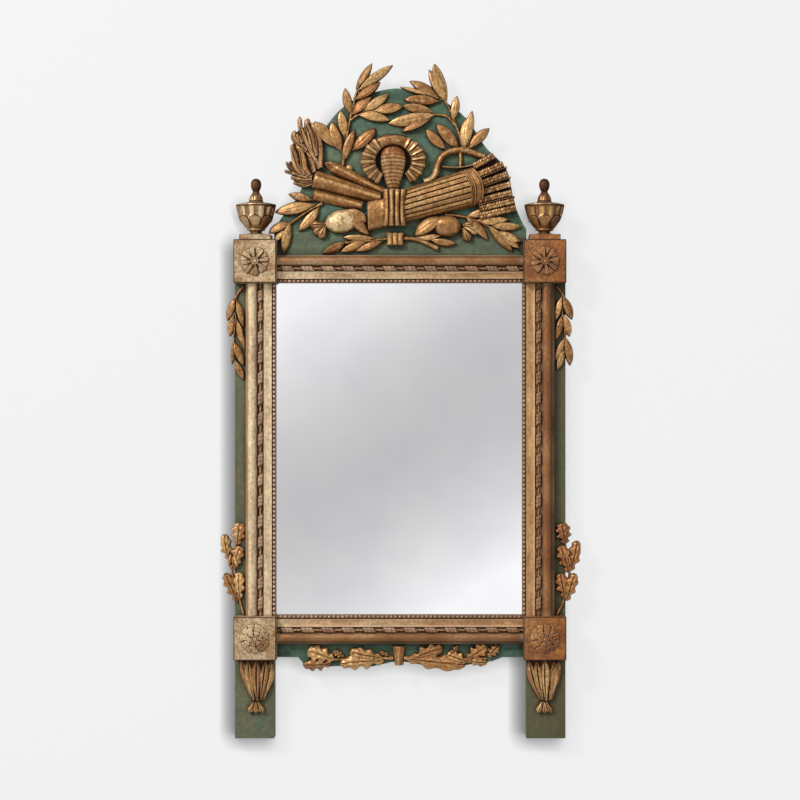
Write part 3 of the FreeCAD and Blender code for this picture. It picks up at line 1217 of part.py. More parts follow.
def frame_pieces():
    """The gilt mouldings, pearl strips, corner blocks, rosettes and urns."""
    pieces = {}
    for level, upright in (("bottom", -1), ("top", 1)):
        pieces["frame_moulding_" + level] = moulding(upright, 0, RAIL_MOULDING_WIDTH)
        pieces["pearl_strip_" + level] = pearl_strip(upright, 0)
        for name, side in SIDES:
            pieces["corner_block_" + level + "_" + name] = [corner_block(upright, side)]
            pieces["rosette_" + level + "_" + name] = [rosette(upright, side)]
    for name, side in SIDES:
        pieces["frame_moulding_" + name] = moulding(0, side, SIDE_MOULDING_WIDTH)
        pieces["pearl_strip_" + name] = pearl_strip(0, side)
        pieces["urn_plinth_" + name] = [urn_plinth(side)]
        pieces["urn_" + name] = [urn(side)]
        pieces["urn_lid_" + name] = [urn_lid(side)]
    return pieces


def crest_pieces():
    """The carved trophy and laurel of the crest, each cut back where a nearer piece lies over it."""
    holder = quiver()
    ribbon = carve(ribbon_bow(), holder)
    tie = carve(ribbon_tie(), holder, ribbon)
    burning = carve(torch(), holder, ribbon, tie)
    fire = carve(flames(), burning)
    limb = carve(bow(), holder, ribbon)
    vanes = carve(arrows(), holder, limb)
    binding = carve(stem_tie(), holder, tie)
    rose_left = rose_stem(LEFT_ROSE_SHARES, LEFT_ROSE_LEAF_SHARES, LEFT_ROSE_STEM_SHARES, LEFT_BUD_SHARES)
    rose_left = carve(rose_left, holder, burning, tie, binding)
    rose_right = rose_stem(RIGHT_ROSE_SHARES, RIGHT_ROSE_LEAF_SHARES, RIGHT_ROSE_STEM_SHARES, RIGHT_BUD_SHARES)
    rose_right = carve(rose_right, holder, tie, binding)
    spray_left = carve(laurel_spray(LEFT_SPRAY_SHARES, LEFT_SPRAY_STEM_SHARES), burning, fire, rose_left)
    spray_right = carve(laurel_spray(RIGHT_SPRAY_SHARES, RIGHT_SPRAY_STEM_SHARES), holder, vanes, rose_right)
    bough_right = carve(laurel_branch_right(), limb, vanes, holder, ribbon)
    bough_left = carve(laurel_branch_left(), burning, fire, ribbon, bough_right)
    return {
        "quiver": [holder], "ribbon_bow": [ribbon], "ribbon_tie": [tie], "torch": [burning],
        "torch_flames": [fire], "bow": [limb], "arrows": [vanes], "stem_tie": [binding],
        "rose_stem_left": [rose_left], "rose_stem_right": [rose_right],
        "laurel_spray_left": [spray_left], "laurel_spray_right": [spray_right],
        "laurel_branch_left": [bough_left], "laurel_branch_right": [bough_right],
    }


def side_pieces():
    """The ornaments beside the mouldings, on the legs and on the apron."""
    pieces = {
        "laurel_drop_left": [laurel_drop(-1, LEFT_DROP_SHARES, LEFT_DROP_STEM_SHARES)],
        "laurel_drop_right": [laurel_drop(1, RIGHT_DROP_SHARES, RIGHT_DROP_STEM_SHARES)],
        "oak_spray_left": [oak_spray(-1, LEFT_OAK_LEAF_SHARES, LEFT_OAK_STEM_SHARES, LEFT_ACORN_SHARES)],
        "oak_spray_right": [oak_spray(1, RIGHT_OAK_LEAF_SHARES, RIGHT_OAK_STEM_SHARES, RIGHT_ACORN_SHARES)],
    }
    clasp = garland_clasp()
    pieces["garland_clasp"] = [clasp]
    pieces["oak_garland_left"] = [carve(oak_garland(GARLAND_LEFT_SHARES, GARLAND_LEFT_STEM_SHARES), clasp)]
    pieces["oak_garland_right"] = [carve(oak_garland(GARLAND_RIGHT_SHARES, GARLAND_RIGHT_STEM_SHARES), clasp)]
    for name, side in SIDES:
        pieces["husk_" + name] = [husk(side)]
    return pieces


def hanger_pieces():
    """The hanger straps, their rings and the screws."""
    pieces = {"hanger_straps": [hanger_strap(side) for _, side in SIDES], "wood_screws": wood_screws()}
    for name, side in SIDES:
        pieces["hanging_ring_" + name] = [hanging_ring(side)]
    return pieces


def trim_sides(pieces, side_names):
    """Cut the side ornaments back to the mouldings and blocks that they lie against."""
    for name, _ in SIDES:
        edges = pieces["frame_moulding_" + name] + pieces["corner_block_top_" + name]
        edges = edges + pieces["corner_block_bottom_" + name]
        for ornament in side_names:
            key = ornament + "_" + name
            pieces[key] = [carve(pieces[key][0], *edges)]


def main():
    """Build every piece and write it out."""
    os.makedirs("parts", exist_ok=True)
    pieces = {}
    for group in (carcass_pieces, frame_pieces, crest_pieces, side_pieces, hanger_pieces):
        pieces.update(group())
    trim_sides(pieces, ("laurel_drop", "oak_spray", "husk", "laurel_spray"))
    for name, shapes in pieces.items():
        export(name, shapes)
    print(len(pieces), "nodes")


main()
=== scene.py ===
import logging
import math
import random
from dataclasses import dataclass, field
from enum import Enum
from typing import Callable, Sequence

import bmesh
import bpy
import numpy as np
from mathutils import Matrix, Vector


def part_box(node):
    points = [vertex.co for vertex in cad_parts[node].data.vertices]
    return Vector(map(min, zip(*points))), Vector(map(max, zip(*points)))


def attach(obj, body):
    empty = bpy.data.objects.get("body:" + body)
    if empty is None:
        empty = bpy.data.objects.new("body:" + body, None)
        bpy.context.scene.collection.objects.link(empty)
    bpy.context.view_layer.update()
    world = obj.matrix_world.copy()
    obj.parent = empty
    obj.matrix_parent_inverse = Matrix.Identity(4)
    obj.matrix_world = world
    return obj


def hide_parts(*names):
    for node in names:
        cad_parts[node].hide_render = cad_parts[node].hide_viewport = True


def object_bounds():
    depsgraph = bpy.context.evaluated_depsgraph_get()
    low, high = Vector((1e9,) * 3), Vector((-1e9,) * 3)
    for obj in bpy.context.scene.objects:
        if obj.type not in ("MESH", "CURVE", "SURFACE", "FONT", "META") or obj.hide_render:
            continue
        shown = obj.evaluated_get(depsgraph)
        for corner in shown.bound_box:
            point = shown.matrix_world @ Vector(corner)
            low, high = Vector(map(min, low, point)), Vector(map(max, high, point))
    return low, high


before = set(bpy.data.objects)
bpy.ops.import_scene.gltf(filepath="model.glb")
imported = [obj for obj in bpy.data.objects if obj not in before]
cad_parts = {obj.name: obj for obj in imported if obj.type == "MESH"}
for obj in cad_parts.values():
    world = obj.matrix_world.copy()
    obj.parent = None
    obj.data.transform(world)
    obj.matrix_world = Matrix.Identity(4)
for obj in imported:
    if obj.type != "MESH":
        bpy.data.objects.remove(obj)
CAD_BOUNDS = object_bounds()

# A giltwood wall mirror. Forms are worked out in millimetres in the row's frame: +X to the right, +Z up,
# the wall at y = 0 and the mirror facing -Y. A mesh is turned to metres when its piece is made.

log = logging.getLogger("giltwood_mirror")

Pair = tuple[float, float]
Triple = tuple[float, float, float]
Array = np.ndarray
Point = Pair | Array
Rows = Sequence[tuple[float, ...]]
Level = float | Array
Place = Callable[[float, float], Pair]
Tree = bpy.types.NodeTree
Socket = bpy.types.NodeSocket
Material = bpy.types.Material

MM = 0.001
SIGHT_HALF_WIDTH = 218.5
SIGHT_HALF_HEIGHT = 295.0
OUTER_HALF_WIDTH = 294.0
BLOCK_CENTRE = 256.25
RAIL_EDGE = 345.0
BLOCK_EDGE = 372.0
BLOCK_FRONT = -66.0
FRONT = -34.0
CREST_WIDTH = 445.0
CREST_HEIGHT = 356.0
APRON_WIDTH = 356.0
SIDES = (("left", -1), ("right", 1))

# How deep the back of a carving is sunk in its ground. Backs take this depth in steps, so that two that
# overlap don't lie level.
SEAT = 0.4
SEAT_STEP = 0.04
SEAT_STEPS = 12

# Tones of a finish: -1 is painted shade with grime, 0 its deep colour, 1 its pale one and 2 the colour of
# rubbed edges and painted highlights
SHADE_AND_GRIME_TONE = -1.0
# The bevel and line tones paint dark outlines of shade round carved faces and along the blocks' edges.
BEVEL_TONE = -0.9
LINE_TONE = -0.85
BACK_TONE = 0.1
FLAT_TONE = 0.5

# Moulding section: shares of its width from the outer edge, and of its relief
FILLET = ((0.0, 0.0), (0.0, 0.4), (0.11, 0.4))
TORUS = ((0.11, 0.4), (0.26, 1.0), (0.43, 0.58))
CHANNEL = ((0.43, 0.58), (0.43, 0.36), (0.7, 0.36), (0.7, 0.66))
BAND = ((0.7, 0.66), (0.84, 0.56), (1.0, 0.54))

# Leaf outlines: along the leaf, half width, height of the rib
OAK_OUTLINE = (
    (0.0, 0.16, 0.55), (0.12, 0.55, 0.75), (0.24, 0.42, 0.85), (0.4, 0.95, 1.0), (0.54, 0.62, 0.95),
    (0.7, 1.0, 0.95), (0.82, 0.62, 0.85), (0.92, 0.62, 0.75), (1.0, 0.22, 0.55),
)
PETAL_OUTLINE = ((0.0, 0.45, 0.7), (0.4, 0.8, 1.0), (0.78, 1.0, 0.9), (1.0, 0.45, 0.6))
HUSK_OUTLINE = ((0.0, 0.3, 0.7), (0.25, 0.62, 0.95), (0.6, 1.0, 1.0), (0.85, 0.72, 0.85), (1.0, 0.1, 0.5))
TONGUE = (
    (0.0, 0.3, 0.7), (0.15, 0.52, 0.85), (0.3, 0.72, 0.8), (0.45, 0.88, 0.98), (0.6, 0.97, 0.9),
    (0.75, 1.0, 1.0), (0.9, 0.86, 0.85), (1.0, 0.55, 0.6),
)

# Crest places: shares of the crest's width from the middle, and of its height from the rail
LEFT_BRANCH = (
    (-0.177, 0.83, -0.113, 0.96, 0.25), (-0.168, 0.82, -0.03, 0.95, 0.22),
    (-0.185, 0.775, -0.08, 0.866, 0.3), (-0.196, 0.7, -0.22, 0.836, 0.31),
    (-0.196, 0.7, -0.115, 0.795, 0.38), (-0.152, 0.715, -0.046, 0.805, 0.31),
    (-0.22, 0.588, -0.238, 0.725, 0.36), (-0.233, 0.515, -0.274, 0.668, 0.35),
    (-0.256, 0.54, -0.343, 0.668, 0.39), (-0.228, 0.464, -0.182, 0.628, 0.27),
    (-0.192, 0.525, -0.099, 0.635, 0.38), (-0.172, 0.705, -0.04, 0.675, 0.31),
    (-0.106, 0.723, 0.012, 0.745, 0.37),
)
LEFT_BRANCH_STEM = ((-0.23, 0.45), (-0.217, 0.56), (-0.204, 0.655), (-0.19, 0.735), (-0.17, 0.825))
LEFT_ARM = ((-0.2, 0.675), (-0.165, 0.705), (-0.1, 0.724))
RIGHT_BRANCH = (
    (0.16, 0.77, 0.013, 0.779, 0.29), (0.136, 0.71, 0.008, 0.745, 0.31), (0.14, 0.703, -0.049, 0.658, 0.26),
    (0.12, 0.68, 0.006, 0.618, 0.28), (0.184, 0.53, 0.103, 0.632, 0.36), (0.232, 0.532, 0.144, 0.655, 0.36),
    (0.16, 0.78, 0.038, 0.871, 0.28), (0.155, 0.8, 0.0, 0.842, 0.14), (0.184, 0.765, 0.137, 0.957, 0.3),
    (0.172, 0.775, 0.116, 0.928, 0.27), (0.21, 0.67, 0.227, 0.797, 0.33), (0.27, 0.545, 0.288, 0.722, 0.25),
    (0.256, 0.53, 0.265, 0.688, 0.33), (0.272, 0.53, 0.356, 0.635, 0.34),
)
RIGHT_BRANCH_STEM = ((0.256, 0.515), (0.238, 0.595), (0.217, 0.668), (0.196, 0.735), (0.168, 0.79))
RIGHT_ARM = ((0.22, 0.65), (0.188, 0.693), (0.128, 0.705))
RIGHT_FORK = ((0.19, 0.525), (0.24, 0.53), (0.275, 0.54))
LEFT_SPRAY = (
    (-0.348, 0.275, -0.446, 0.307, 0.33), (-0.34, 0.255, -0.5, 0.216, 0.3),
    (-0.324, 0.24, -0.407, 0.123, 0.32), (-0.44, 0.165, -0.526, 0.113, 0.38),
    (-0.438, 0.165, -0.464, 0.01, 0.3), (-0.456, 0.135, -0.51, 0.062, 0.33),
)
LEFT_SPRAY_STEM = ((-0.312, 0.26), (-0.376, 0.215), (-0.448, 0.15))
RIGHT_SPRAY = (
    (0.266, 0.193, 0.378, 0.23, 0.31), (0.304, 0.175, 0.435, 0.18, 0.29), (0.356, 0.14, 0.485, 0.143, 0.28),
    (0.264, 0.195, 0.352, 0.077, 0.29), (0.348, 0.147, 0.448, 0.017, 0.26),
    (0.384, 0.122, 0.485, 0.07, 0.33), (0.4, 0.105, 0.478, 0.035, 0.36),
)
RIGHT_SPRAY_STEM = ((0.18, 0.203), (0.266, 0.19), (0.352, 0.145), (0.4, 0.11))
LEFT_ROSE_LEAF = (
    (-0.1, 0.085, -0.23, 0.09, 0.24), (-0.216, 0.065, -0.311, 0.01, 0.34),
    (-0.136, 0.065, -0.238, 0.015, 0.31), (-0.068, 0.075, -0.18, 0.02, 0.27),
)
LEFT_ROSE_STEM = ((-0.03, 0.085), (-0.13, 0.072), (-0.22, 0.063))
LEFT_BUD = ((-0.295, 0.155, -0.36, 0.15), (-0.3, 0.15, -0.345, 0.105), (-0.3, 0.15, -0.32, 0.085))
RIGHT_ROSE_LEAF = ((0.06, 0.09, 0.165, 0.098, 0.27), (0.12, 0.075, 0.225, 0.058, 0.3))
RIGHT_ROSE_STEM = ((-0.03, 0.085), (0.07, 0.078), (0.15, 0.035))
RIGHT_BUD = ((0.25, 0.15, 0.3, 0.155), (0.255, 0.145, 0.315, 0.115), (0.25, 0.135, 0.275, 0.07))
ARROW = (
    (0.29, 0.44, 0.375, 0.497, 0.34), (0.3, 0.395, 0.412, 0.455, 0.33), (0.305, 0.35, 0.428, 0.405, 0.31),
    (0.31, 0.31, 0.44, 0.355, 0.3), (0.31, 0.27, 0.445, 0.31, 0.3), (0.315, 0.23, 0.456, 0.272, 0.29),
    (0.315, 0.195, 0.463, 0.235, 0.27),
)
QUIVER_BUTT = (-0.128, 0.195)
QUIVER_MOUTH = (0.262, 0.333)
RIBBON_CENTRE = (-0.027, 0.47)
RIBBON_OUTER = (0.131, 0.133)
RIBBON_INNER = (0.072, 0.078)
RIBBON_TONGUE = (-0.028, 0.32, 0.55)
RIBBON_TIE = (-0.022, 0.145, 0.325)
STEM_TIE = (-0.02, 0.05, 0.112)
BERRY = (-0.204, 0.435)

# Side drops: shares of the drop's height, outward from the stile's edge and up from the block
LEFT_DROP = (
    (0.0, -0.14, 0.076, -0.37, 0.31), (-0.02, -0.16, -0.09, -0.44, 0.26), (0.01, -0.31, 0.049, -0.53, 0.34),
    (-0.02, -0.36, -0.067, -0.61, 0.28), (-0.045, -0.44, -0.095, -0.67, 0.2),
    (0.02, -0.59, 0.03, -0.81, 0.2), (0.01, -0.58, -0.09, -0.82, 0.32),
    (-0.005, -0.77, -0.09, -0.96, 0.34),
)
LEFT_DROP_STEM = ((-0.085, -0.03), (-0.022, -0.11), (-0.008, -0.36), (0.012, -0.57), (-0.004, -0.79))
RIGHT_DROP = (
    (-0.018, -0.13, 0.064, -0.36, 0.35), (-0.035, -0.12, -0.1, -0.37, 0.28),
    (-0.027, -0.31, 0.038, -0.53, 0.36), (-0.035, -0.31, -0.1, -0.57, 0.27),
    (-0.002, -0.54, 0.044, -0.82, 0.29), (-0.005, -0.54, -0.1, -0.78, 0.29),
    (-0.01, -0.66, -0.08, -0.86, 0.35),
)
RIGHT_DROP_STEM = ((-0.09, -0.03), (-0.029, -0.11), (-0.032, -0.32), (-0.002, -0.55), (-0.01, -0.69))

# Oak sprays: shares of the spray's height, outward from the stile's edge and up from the block
LEFT_OAK_LEAF = (
    (-0.023, 0.705, -0.045, 0.93, 0.58), (0.055, 0.555, 0.106, 0.81, 0.4),
    (0.03, 0.455, -0.06, 0.695, 0.5), (-0.05, 0.165, -0.04, 0.435, 0.44),
    (-0.028, 0.135, 0.097, 0.42, 0.35),
)
LEFT_OAK_STEM = ((-0.085, 0.01), (-0.055, 0.13), (-0.018, 0.265), (0.03, 0.455), (-0.01, 0.72))
LEFT_ACORN = ((0.01, 0.6, -0.03, 0.48), (0.04, 0.62, 0.055, 0.5))
RIGHT_OAK_LEAF = (
    (-0.002, 0.715, -0.04, 0.925, 0.62), (0.048, 0.445, 0.118, 0.745, 0.36),
    (0.033, 0.425, -0.055, 0.7, 0.44), (-0.005, 0.175, -0.055, 0.425, 0.48),
    (0.008, 0.145, 0.093, 0.42, 0.38),
)
RIGHT_OAK_STEM = ((-0.085, 0.01), (-0.032, 0.12), (0.008, 0.265), (0.043, 0.445), (-0.002, 0.715))
RIGHT_ACORN = ((-0.01, 0.62, -0.04, 0.5), (0.03, 0.6, 0.05, 0.49))

# Husks: shares of the husk's width from its middle, and of its height down from the block
HUSK_BUD = ((-0.06, 0.79, -0.19, 0.99), (0.06, 0.79, 0.21, 0.99), (0.0, 0.79, 0.01, 1.0))

# Garland and apron: shares of the apron's width from the middle and down from the bottom moulding
GARLAND_LEFT_STEM = ((-0.035, -0.072), (-0.18, -0.075), (-0.34, -0.08))
GARLAND_RIGHT_STEM = ((0.02, -0.072), (0.18, -0.074), (0.33, -0.078), (0.43, -0.075))
CLASP = (-0.006, -0.108, -0.012)

# Where the points of a section lie across a form, closer together at its middle and its edges
ACROSS = np.array((
    -1, -0.96, -0.86, -0.7, -0.5, -0.3, -0.15, -0.06, 0, 0.06, 0.15, 0.3, 0.5, 0.7, 0.86, 0.96, 1,
))


def linear(colour: str) -> tuple[float, float, float, float]:
    """Turn an sRGB colour to linear light.

    Args:
        colour: The colour as #RRGGBB.

    Returns:
        Red, green, blue and an alpha of one.
    """
    parts = [int(colour[at:at + 2], 16) / 255 for at in (1, 3, 5)]
    parts = [part / 12.92 if part <= 0.04045 else ((part + 0.055) / 1.055) ** 2.4 for part in parts]
    return parts[0], parts[1], parts[2], 1.0


def add(tree: Tree, kind: str, inputs: dict | None = None, **settings) -> bpy.types.Node:
    """Add a shader node, set it and link it.

    Args:
        tree: The node tree that takes it.
        kind: The node's type without its ShaderNode prefix.
        inputs: A value or an output socket for each named or numbered input.
        **settings: The node's own properties.

    Returns:
        The node.
    """
    node = tree.nodes.new("ShaderNode" + kind)
    for name, value in settings.items():
        setattr(node, name, value)
    for name, value in (inputs or {}).items():
        if isinstance(value, Socket):
            tree.links.new(value, node.inputs[name])
        else:
            node.inputs[name].default_value = value
    return node


def reckon(tree: Tree, operation: str, first: Socket | float, second: Socket | float, **settings) -> Socket:
    """Add a Math node for two numbers and give its result."""
    return add(tree, "Math", {0: first, 1: second}, operation=operation, **settings).outputs[0]


def ramp(tree: Tree, value: Socket, span: Pair, ends: Pair = (0.0, 1.0), **settings) -> Socket:
    """Turn a value that runs over a span to one that runs between two ends, and give the result."""
    inputs = {0: value, 1: span[0], 2: span[1], 3: ends[0], 4: ends[1]}
    return add(tree, "MapRange", inputs, **settings).outputs[0]


def between(tree: Tree, share: Socket | float, first: Socket | float, second: Socket | float) -> Socket:
    """Mix two numbers and give the result."""
    return add(tree, "Mix", {0: share, 2: first, 3: second}).outputs[0]


def blend(tree: Tree, share: Socket | float, under: Socket | str, over: Socket | str,
          way: str = "MIX") -> Socket:
    """Lay one colour over another.

    Args:
        tree: The node tree.
        share: How much of the upper colour shows.
        under: The lower colour, from a socket or as #RRGGBB.
        over: The upper colour.
        way: How they are blended.

    Returns:
        The colour.
    """
    lower, upper = (linear(side) if isinstance(side, str) else side for side in (under, over))
    inputs = {0: share, 6: lower, 7: upper}
    return add(tree, "Mix", inputs, data_type="RGBA", blend_type=way).outputs[2]


def grey(tree: Tree, value: Socket) -> Socket:
    """Turn a number to the grey that is as light."""
    return add(tree, "CombineColor", {0: value, 1: value, 2: value}).outputs[0]


def noise(tree: Tree, place: Socket, size: float, detail: float, roughness: float = 0.5) -> Socket:
    """Add a noise whose blotches have a size in the place's own unit, and give its value."""
    inputs = {"Vector": place, "Scale": 1 / size, "Detail": detail, "Roughness": roughness}
    return add(tree, "TexNoise", inputs).outputs[0]


def clear_tree(owner: Material | bpy.types.World) -> Tree:
    """Give the node tree of a material or a world, with nothing in it.

    Args:
        owner: The material or the world.

    Returns:
        Its node tree.
    """
    owner.use_nodes = True
    owner.node_tree.nodes.clear()
    return owner.node_tree


class Grain(Enum):
    """Which way the brush marks, rubs and wood fibres of a finish run."""

    EVEN = (1.0, 1.0, 1.0)
    LEVEL = (0.12, 1.0, 1.0)
    UPRIGHT = (1.0, 1.0, 0.12)


@dataclass(frozen=True)
class Patch:
    """A colour that shows through a finish in patches.

    Attributes:
        colour: The patch's colour as #RRGGBB.
        size: How far apart patches lie, in millimetres.
        low: The noise value at which a patch begins to show.
        high: The noise value at which it shows in full.
        strength: How much of the colour shows there.
    """

    colour: str
    size: float
    low: float
    high: float
    strength: float


# What every aged finish shares: sizes in millimetres, and the spans of a noise, of an edge's bend and of
# a recess's openness over which something comes in
CLOUD_SIZE = 24.0
CLOUD_SPAN = (0.35, 0.65)
MARK_SPAN = (0.3, 0.7)
MARK_LIGHTNESS = (0.74, 1.22)
MOTTLE_SPAN = (0.32, 0.68)
EDGE_SPAN = (0.515, 0.58)
RECESS_SPAN = (0.25, 0.9)
PATCH_SHIFT = (37.0, 0.0, 53.0)
EDGE_SHARE = 0.9
SHADE_AND_GRIME_SHARE = 0.95
CRACK_WIDTH = 0.07
CRACK_SHARE = 0.35
DIRT_ROUGHNESS = 0.85


@dataclass(frozen=True)
class AgedFinish:
    """A hand-laid finish: worn patches, grime and painted shade in its recesses, and rubbed edges with
    painted highlights.

    Attributes:
        name: The material's name.
        deep, pale: Its darker and its lighter colour.
        recess, edge: The colour of the grime and painted shade in its recesses, and of its rubbed edges and
            painted highlights.
        patches: The colours that show through.
        grain: Which way its marks run.
        metallic: How metallic its clean parts are.
        rough: The least and the most roughness.
        tone_share: How much of its colour comes from the piece's own tone.
        reach: How far grime and painted shade spread out of a recess, in millimetres.
        recess_grime_and_shade: How much grime and painted shade darken its recesses.
        edge_rub_and_highlight: How much its edges are rubbed pale, as wear and painted highlight.
        tooth: Size and depth of its surface marks, in millimetres.
        crackle: Size of the plates between its cracks in millimetres, or 0 for none.
        mottle: Size of its blotches in millimetres, and how much they change its lightness.
        right_side_shade: The tint of the painted shade on its right side, as light falls from the left; its
            left side has none.
    """

    name: str
    deep: str
    pale: str
    recess: str
    edge: str
    patches: tuple[Patch, ...] = ()
    grain: Grain = Grain.EVEN
    metallic: float = 0.0
    rough: Pair = (0.4, 0.6)
    tone_share: float = 0.75
    reach: float = 7.0
    recess_grime_and_shade: float = 0.9
    edge_rub_and_highlight: float = 0.4
    tooth: Pair = (1.4, 0.12)
    crackle: float = 0.0
    mottle: Pair = (7.0, 0.3)
    right_side_shade: str = "#FFFFFF"

    def lay(self, tree: Tree, place: Socket, along: Socket, tone: Socket) -> Socket:
        """Lay the clean colours: deep to pale, painted highlights for tones above 1, the patches, and the
        painted shade of the right side.

        Args:
            tree: The material's node tree.
            place: The place in millimetres.
            along: The same, drawn out along the grain.
            tone: The piece's own tone.

        Returns:
            The colour.
        """
        cloud = ramp(tree, noise(tree, along, CLOUD_SIZE, 4.0), CLOUD_SPAN)
        colour = blend(tree, between(tree, self.tone_share, cloud, tone), self.deep, self.pale)
        # Tones above 1 paint highlights in the edge colour.
        colour = blend(tree, ramp(tree, tone, (1.0, 2.0), (0.0, EDGE_SHARE)), colour, self.edge)
        for number, patch in enumerate(self.patches):
            shift = tuple(number * part for part in PATCH_SHIFT)
            spots = add(tree, "VectorMath", {0: along, 1: shift}).outputs[0]
            spots = noise(tree, spots, patch.size, 6.0, 0.62)
            spots = ramp(tree, spots, (patch.low, patch.high), (0.0, patch.strength))
            colour = blend(tree, spots, colour, patch.colour)
        # Painted shade: the colour darkens toward the right by the tint given for the right side.
        side = add(tree, "SeparateXYZ", {0: place}).outputs[0]
        side = ramp(tree, side, (-OUTER_HALF_WIDTH, OUTER_HALF_WIDTH))
        return blend(tree, side, colour, self.right_side_shade, "MULTIPLY")

    def material(self) -> Material:
        """Make the material, or return it where it is there already.

        Returns:
            The material.
        """
        known = bpy.data.materials.get(self.name)
        if known:
            return known
        made = bpy.data.materials.new(self.name)
        tree = clear_tree(made)
        place = add(tree, "TexCoord").outputs["Object"]
        place = add(tree, "VectorMath", {0: place, "Scale": 1 / MM}, operation="SCALE").outputs[0]
        along = add(tree, "VectorMath", {0: place, 1: self.grain.value}, operation="MULTIPLY").outputs[0]
        tone = add(tree, "Attribute", attribute_name="tone").outputs["Fac"]
        colour = self.lay(tree, place, along, tone)
        marks = noise(tree, along, self.tooth[0], 5.0, 0.7)
        size, change = self.mottle
        blotch = ramp(tree, noise(tree, place, size, 3.0), MOTTLE_SPAN, (1 - change, 1 + 0.7 * change))
        speck = reckon(tree, "MULTIPLY", ramp(tree, marks, MARK_SPAN, MARK_LIGHTNESS), blotch)
        colour = blend(tree, 1.0, colour, grey(tree, speck), "MULTIPLY")
        if self.crackle:
            plates = add(tree, "TexVoronoi", {"Vector": place, "Scale": 1 / self.crackle},
                         feature="DISTANCE_TO_EDGE").outputs[0]
            cracks = ramp(tree, plates, (0.0, CRACK_WIDTH), (CRACK_SHARE, 0.0))
            colour = blend(tree, cracks, colour, self.recess)
        # Convex edges lighten toward the edge colour: rubbed wear and painted highlight.
        bend = add(tree, "NewGeometry").outputs["Pointiness"]
        colour = blend(tree, ramp(tree, bend, EDGE_SPAN, (0.0, self.edge_rub_and_highlight)), colour, self.edge)
        # Painted shade with grime: recesses darken by ambient occlusion, and tones below 0 darken toward the
        # recess colour.
        open_share = add(tree, "AmbientOcclusion", {"Distance": self.reach * MM}, samples=8).outputs["AO"]
        shaded_and_grimy = ramp(tree, open_share, RECESS_SPAN, (self.recess_grime_and_shade, 0.0))
        low_tone_shade_and_grime = ramp(tree, tone, (0.0, SHADE_AND_GRIME_TONE), (0.0, SHADE_AND_GRIME_SHARE))
        shaded_and_grimy = reckon(tree, "MAXIMUM", shaded_and_grimy, low_tone_shade_and_grime)
        colour = blend(tree, shaded_and_grimy, colour, self.recess)
        dull = between(tree, shaded_and_grimy, ramp(tree, marks, MARK_SPAN, self.rough), DIRT_ROUGHNESS)
        depth = self.tooth[1] * MM
        height = add(tree, "Bump", {"Strength": 0.8, "Distance": depth, "Height": marks}).outputs[0]
        shader = add(tree, "BsdfPrincipled", {"Base Color": colour, "Roughness": dull, "Normal": height})
        shader.inputs["Metallic"].default_value = self.metallic
        add(tree, "OutputMaterial", {0: shader.outputs[0]})
        return made


# Water gilding over red bole on carved pine: soft, warm metal whose high places are rubbed pale and carry
# painted highlights, and whose hollows hold brown grime and painted shade, so each leaf reads as a bright
# form with a dark outline of painted shade.
CREST_GILDING = AgedFinish(
    "water_gilding_on_crest_carving", deep="#8E5422", pale="#D8A96A", recess="#1A0E07", edge="#E8CC98",
    patches=(Patch("#8A4A22", 9, 0.52, 0.64, 0.6), Patch("#DDBE8A", 13, 0.54, 0.68, 0.55),
             Patch("#5A3A1C", 5, 0.6, 0.7, 0.6)),
    metallic=0.5, rough=(0.3, 0.52), recess_grime_and_shade=0.97, edge_rub_and_highlight=0.35, tooth=(2.4, 0.2), mottle=(5.0, 0.42),
)

# The flames' gilding is old and little cleaned: browner and greyer, and darker in its grooves with painted
# shade.
FLAME_GILDING = AgedFinish(
    "water_gilding_browned_by_age", deep="#7A4A26", pale="#C2935F", recess="#1A0E07", edge="#D2AE80",
    patches=(Patch("#8B4A24", 9, 0.52, 0.64, 0.6), Patch("#A88A68", 12, 0.54, 0.68, 0.5)),
    metallic=0.4, rough=(0.32, 0.55), reach=5.0, tooth=(2.4, 0.2), mottle=(5.5, 0.34),
)

# Oil gilding on oak leaves, put on thick over yellow size: a warm orange gold with glossy high places.
OAK_GILDING = AgedFinish(
    "oil_gilding_on_oak_leaves", deep="#A0662C", pale="#E0B474", recess="#22130A", edge="#EBD09E",
    patches=(Patch("#B0622A", 9, 0.52, 0.64, 0.55), Patch("#DCC090", 12, 0.54, 0.68, 0.5)),
    metallic=0.45, rough=(0.3, 0.5), reach=4.0, edge_rub_and_highlight=0.35, right_side_shade="#DCC0A0", tooth=(2.2, 0.2),
    mottle=(5.0, 0.34),
)

# Worn gilding on planed mouldings: pale cream gold, streaked along the wood, with purple-brown bole where
# hands and cloths have rubbed it through, and browner on the right as painted shade, the light falling from
# the left.
MOULDING_TINTS = dict(
    deep="#A06A30", pale="#F8DEB4", recess="#2A160A", edge="#EFDAB2",
    patches=(Patch("#9A6E58", 15, 0.54, 0.66, 0.5), Patch("#9C6030", 10, 0.57, 0.7, 0.4),
             Patch("#E6D0AA", 20, 0.54, 0.68, 0.35)),
    metallic=0.3, rough=(0.36, 0.56), tone_share=0.88, reach=4.5, recess_grime_and_shade=0.75, edge_rub_and_highlight=0.3, mottle=(6.0, 0.26),
    tooth=(2.4, 0.15),
)
LEVEL_GILDING = AgedFinish("rubbed_gilding_along_rail_mouldings", grain=Grain.LEVEL, right_side_shade="#C8A67A",
                           **MOULDING_TINTS)
UPRIGHT_GILDING = AgedFinish("rubbed_gilding_along_side_mouldings", grain=Grain.UPRIGHT, right_side_shade="#DCBF94",
                             **MOULDING_TINTS)

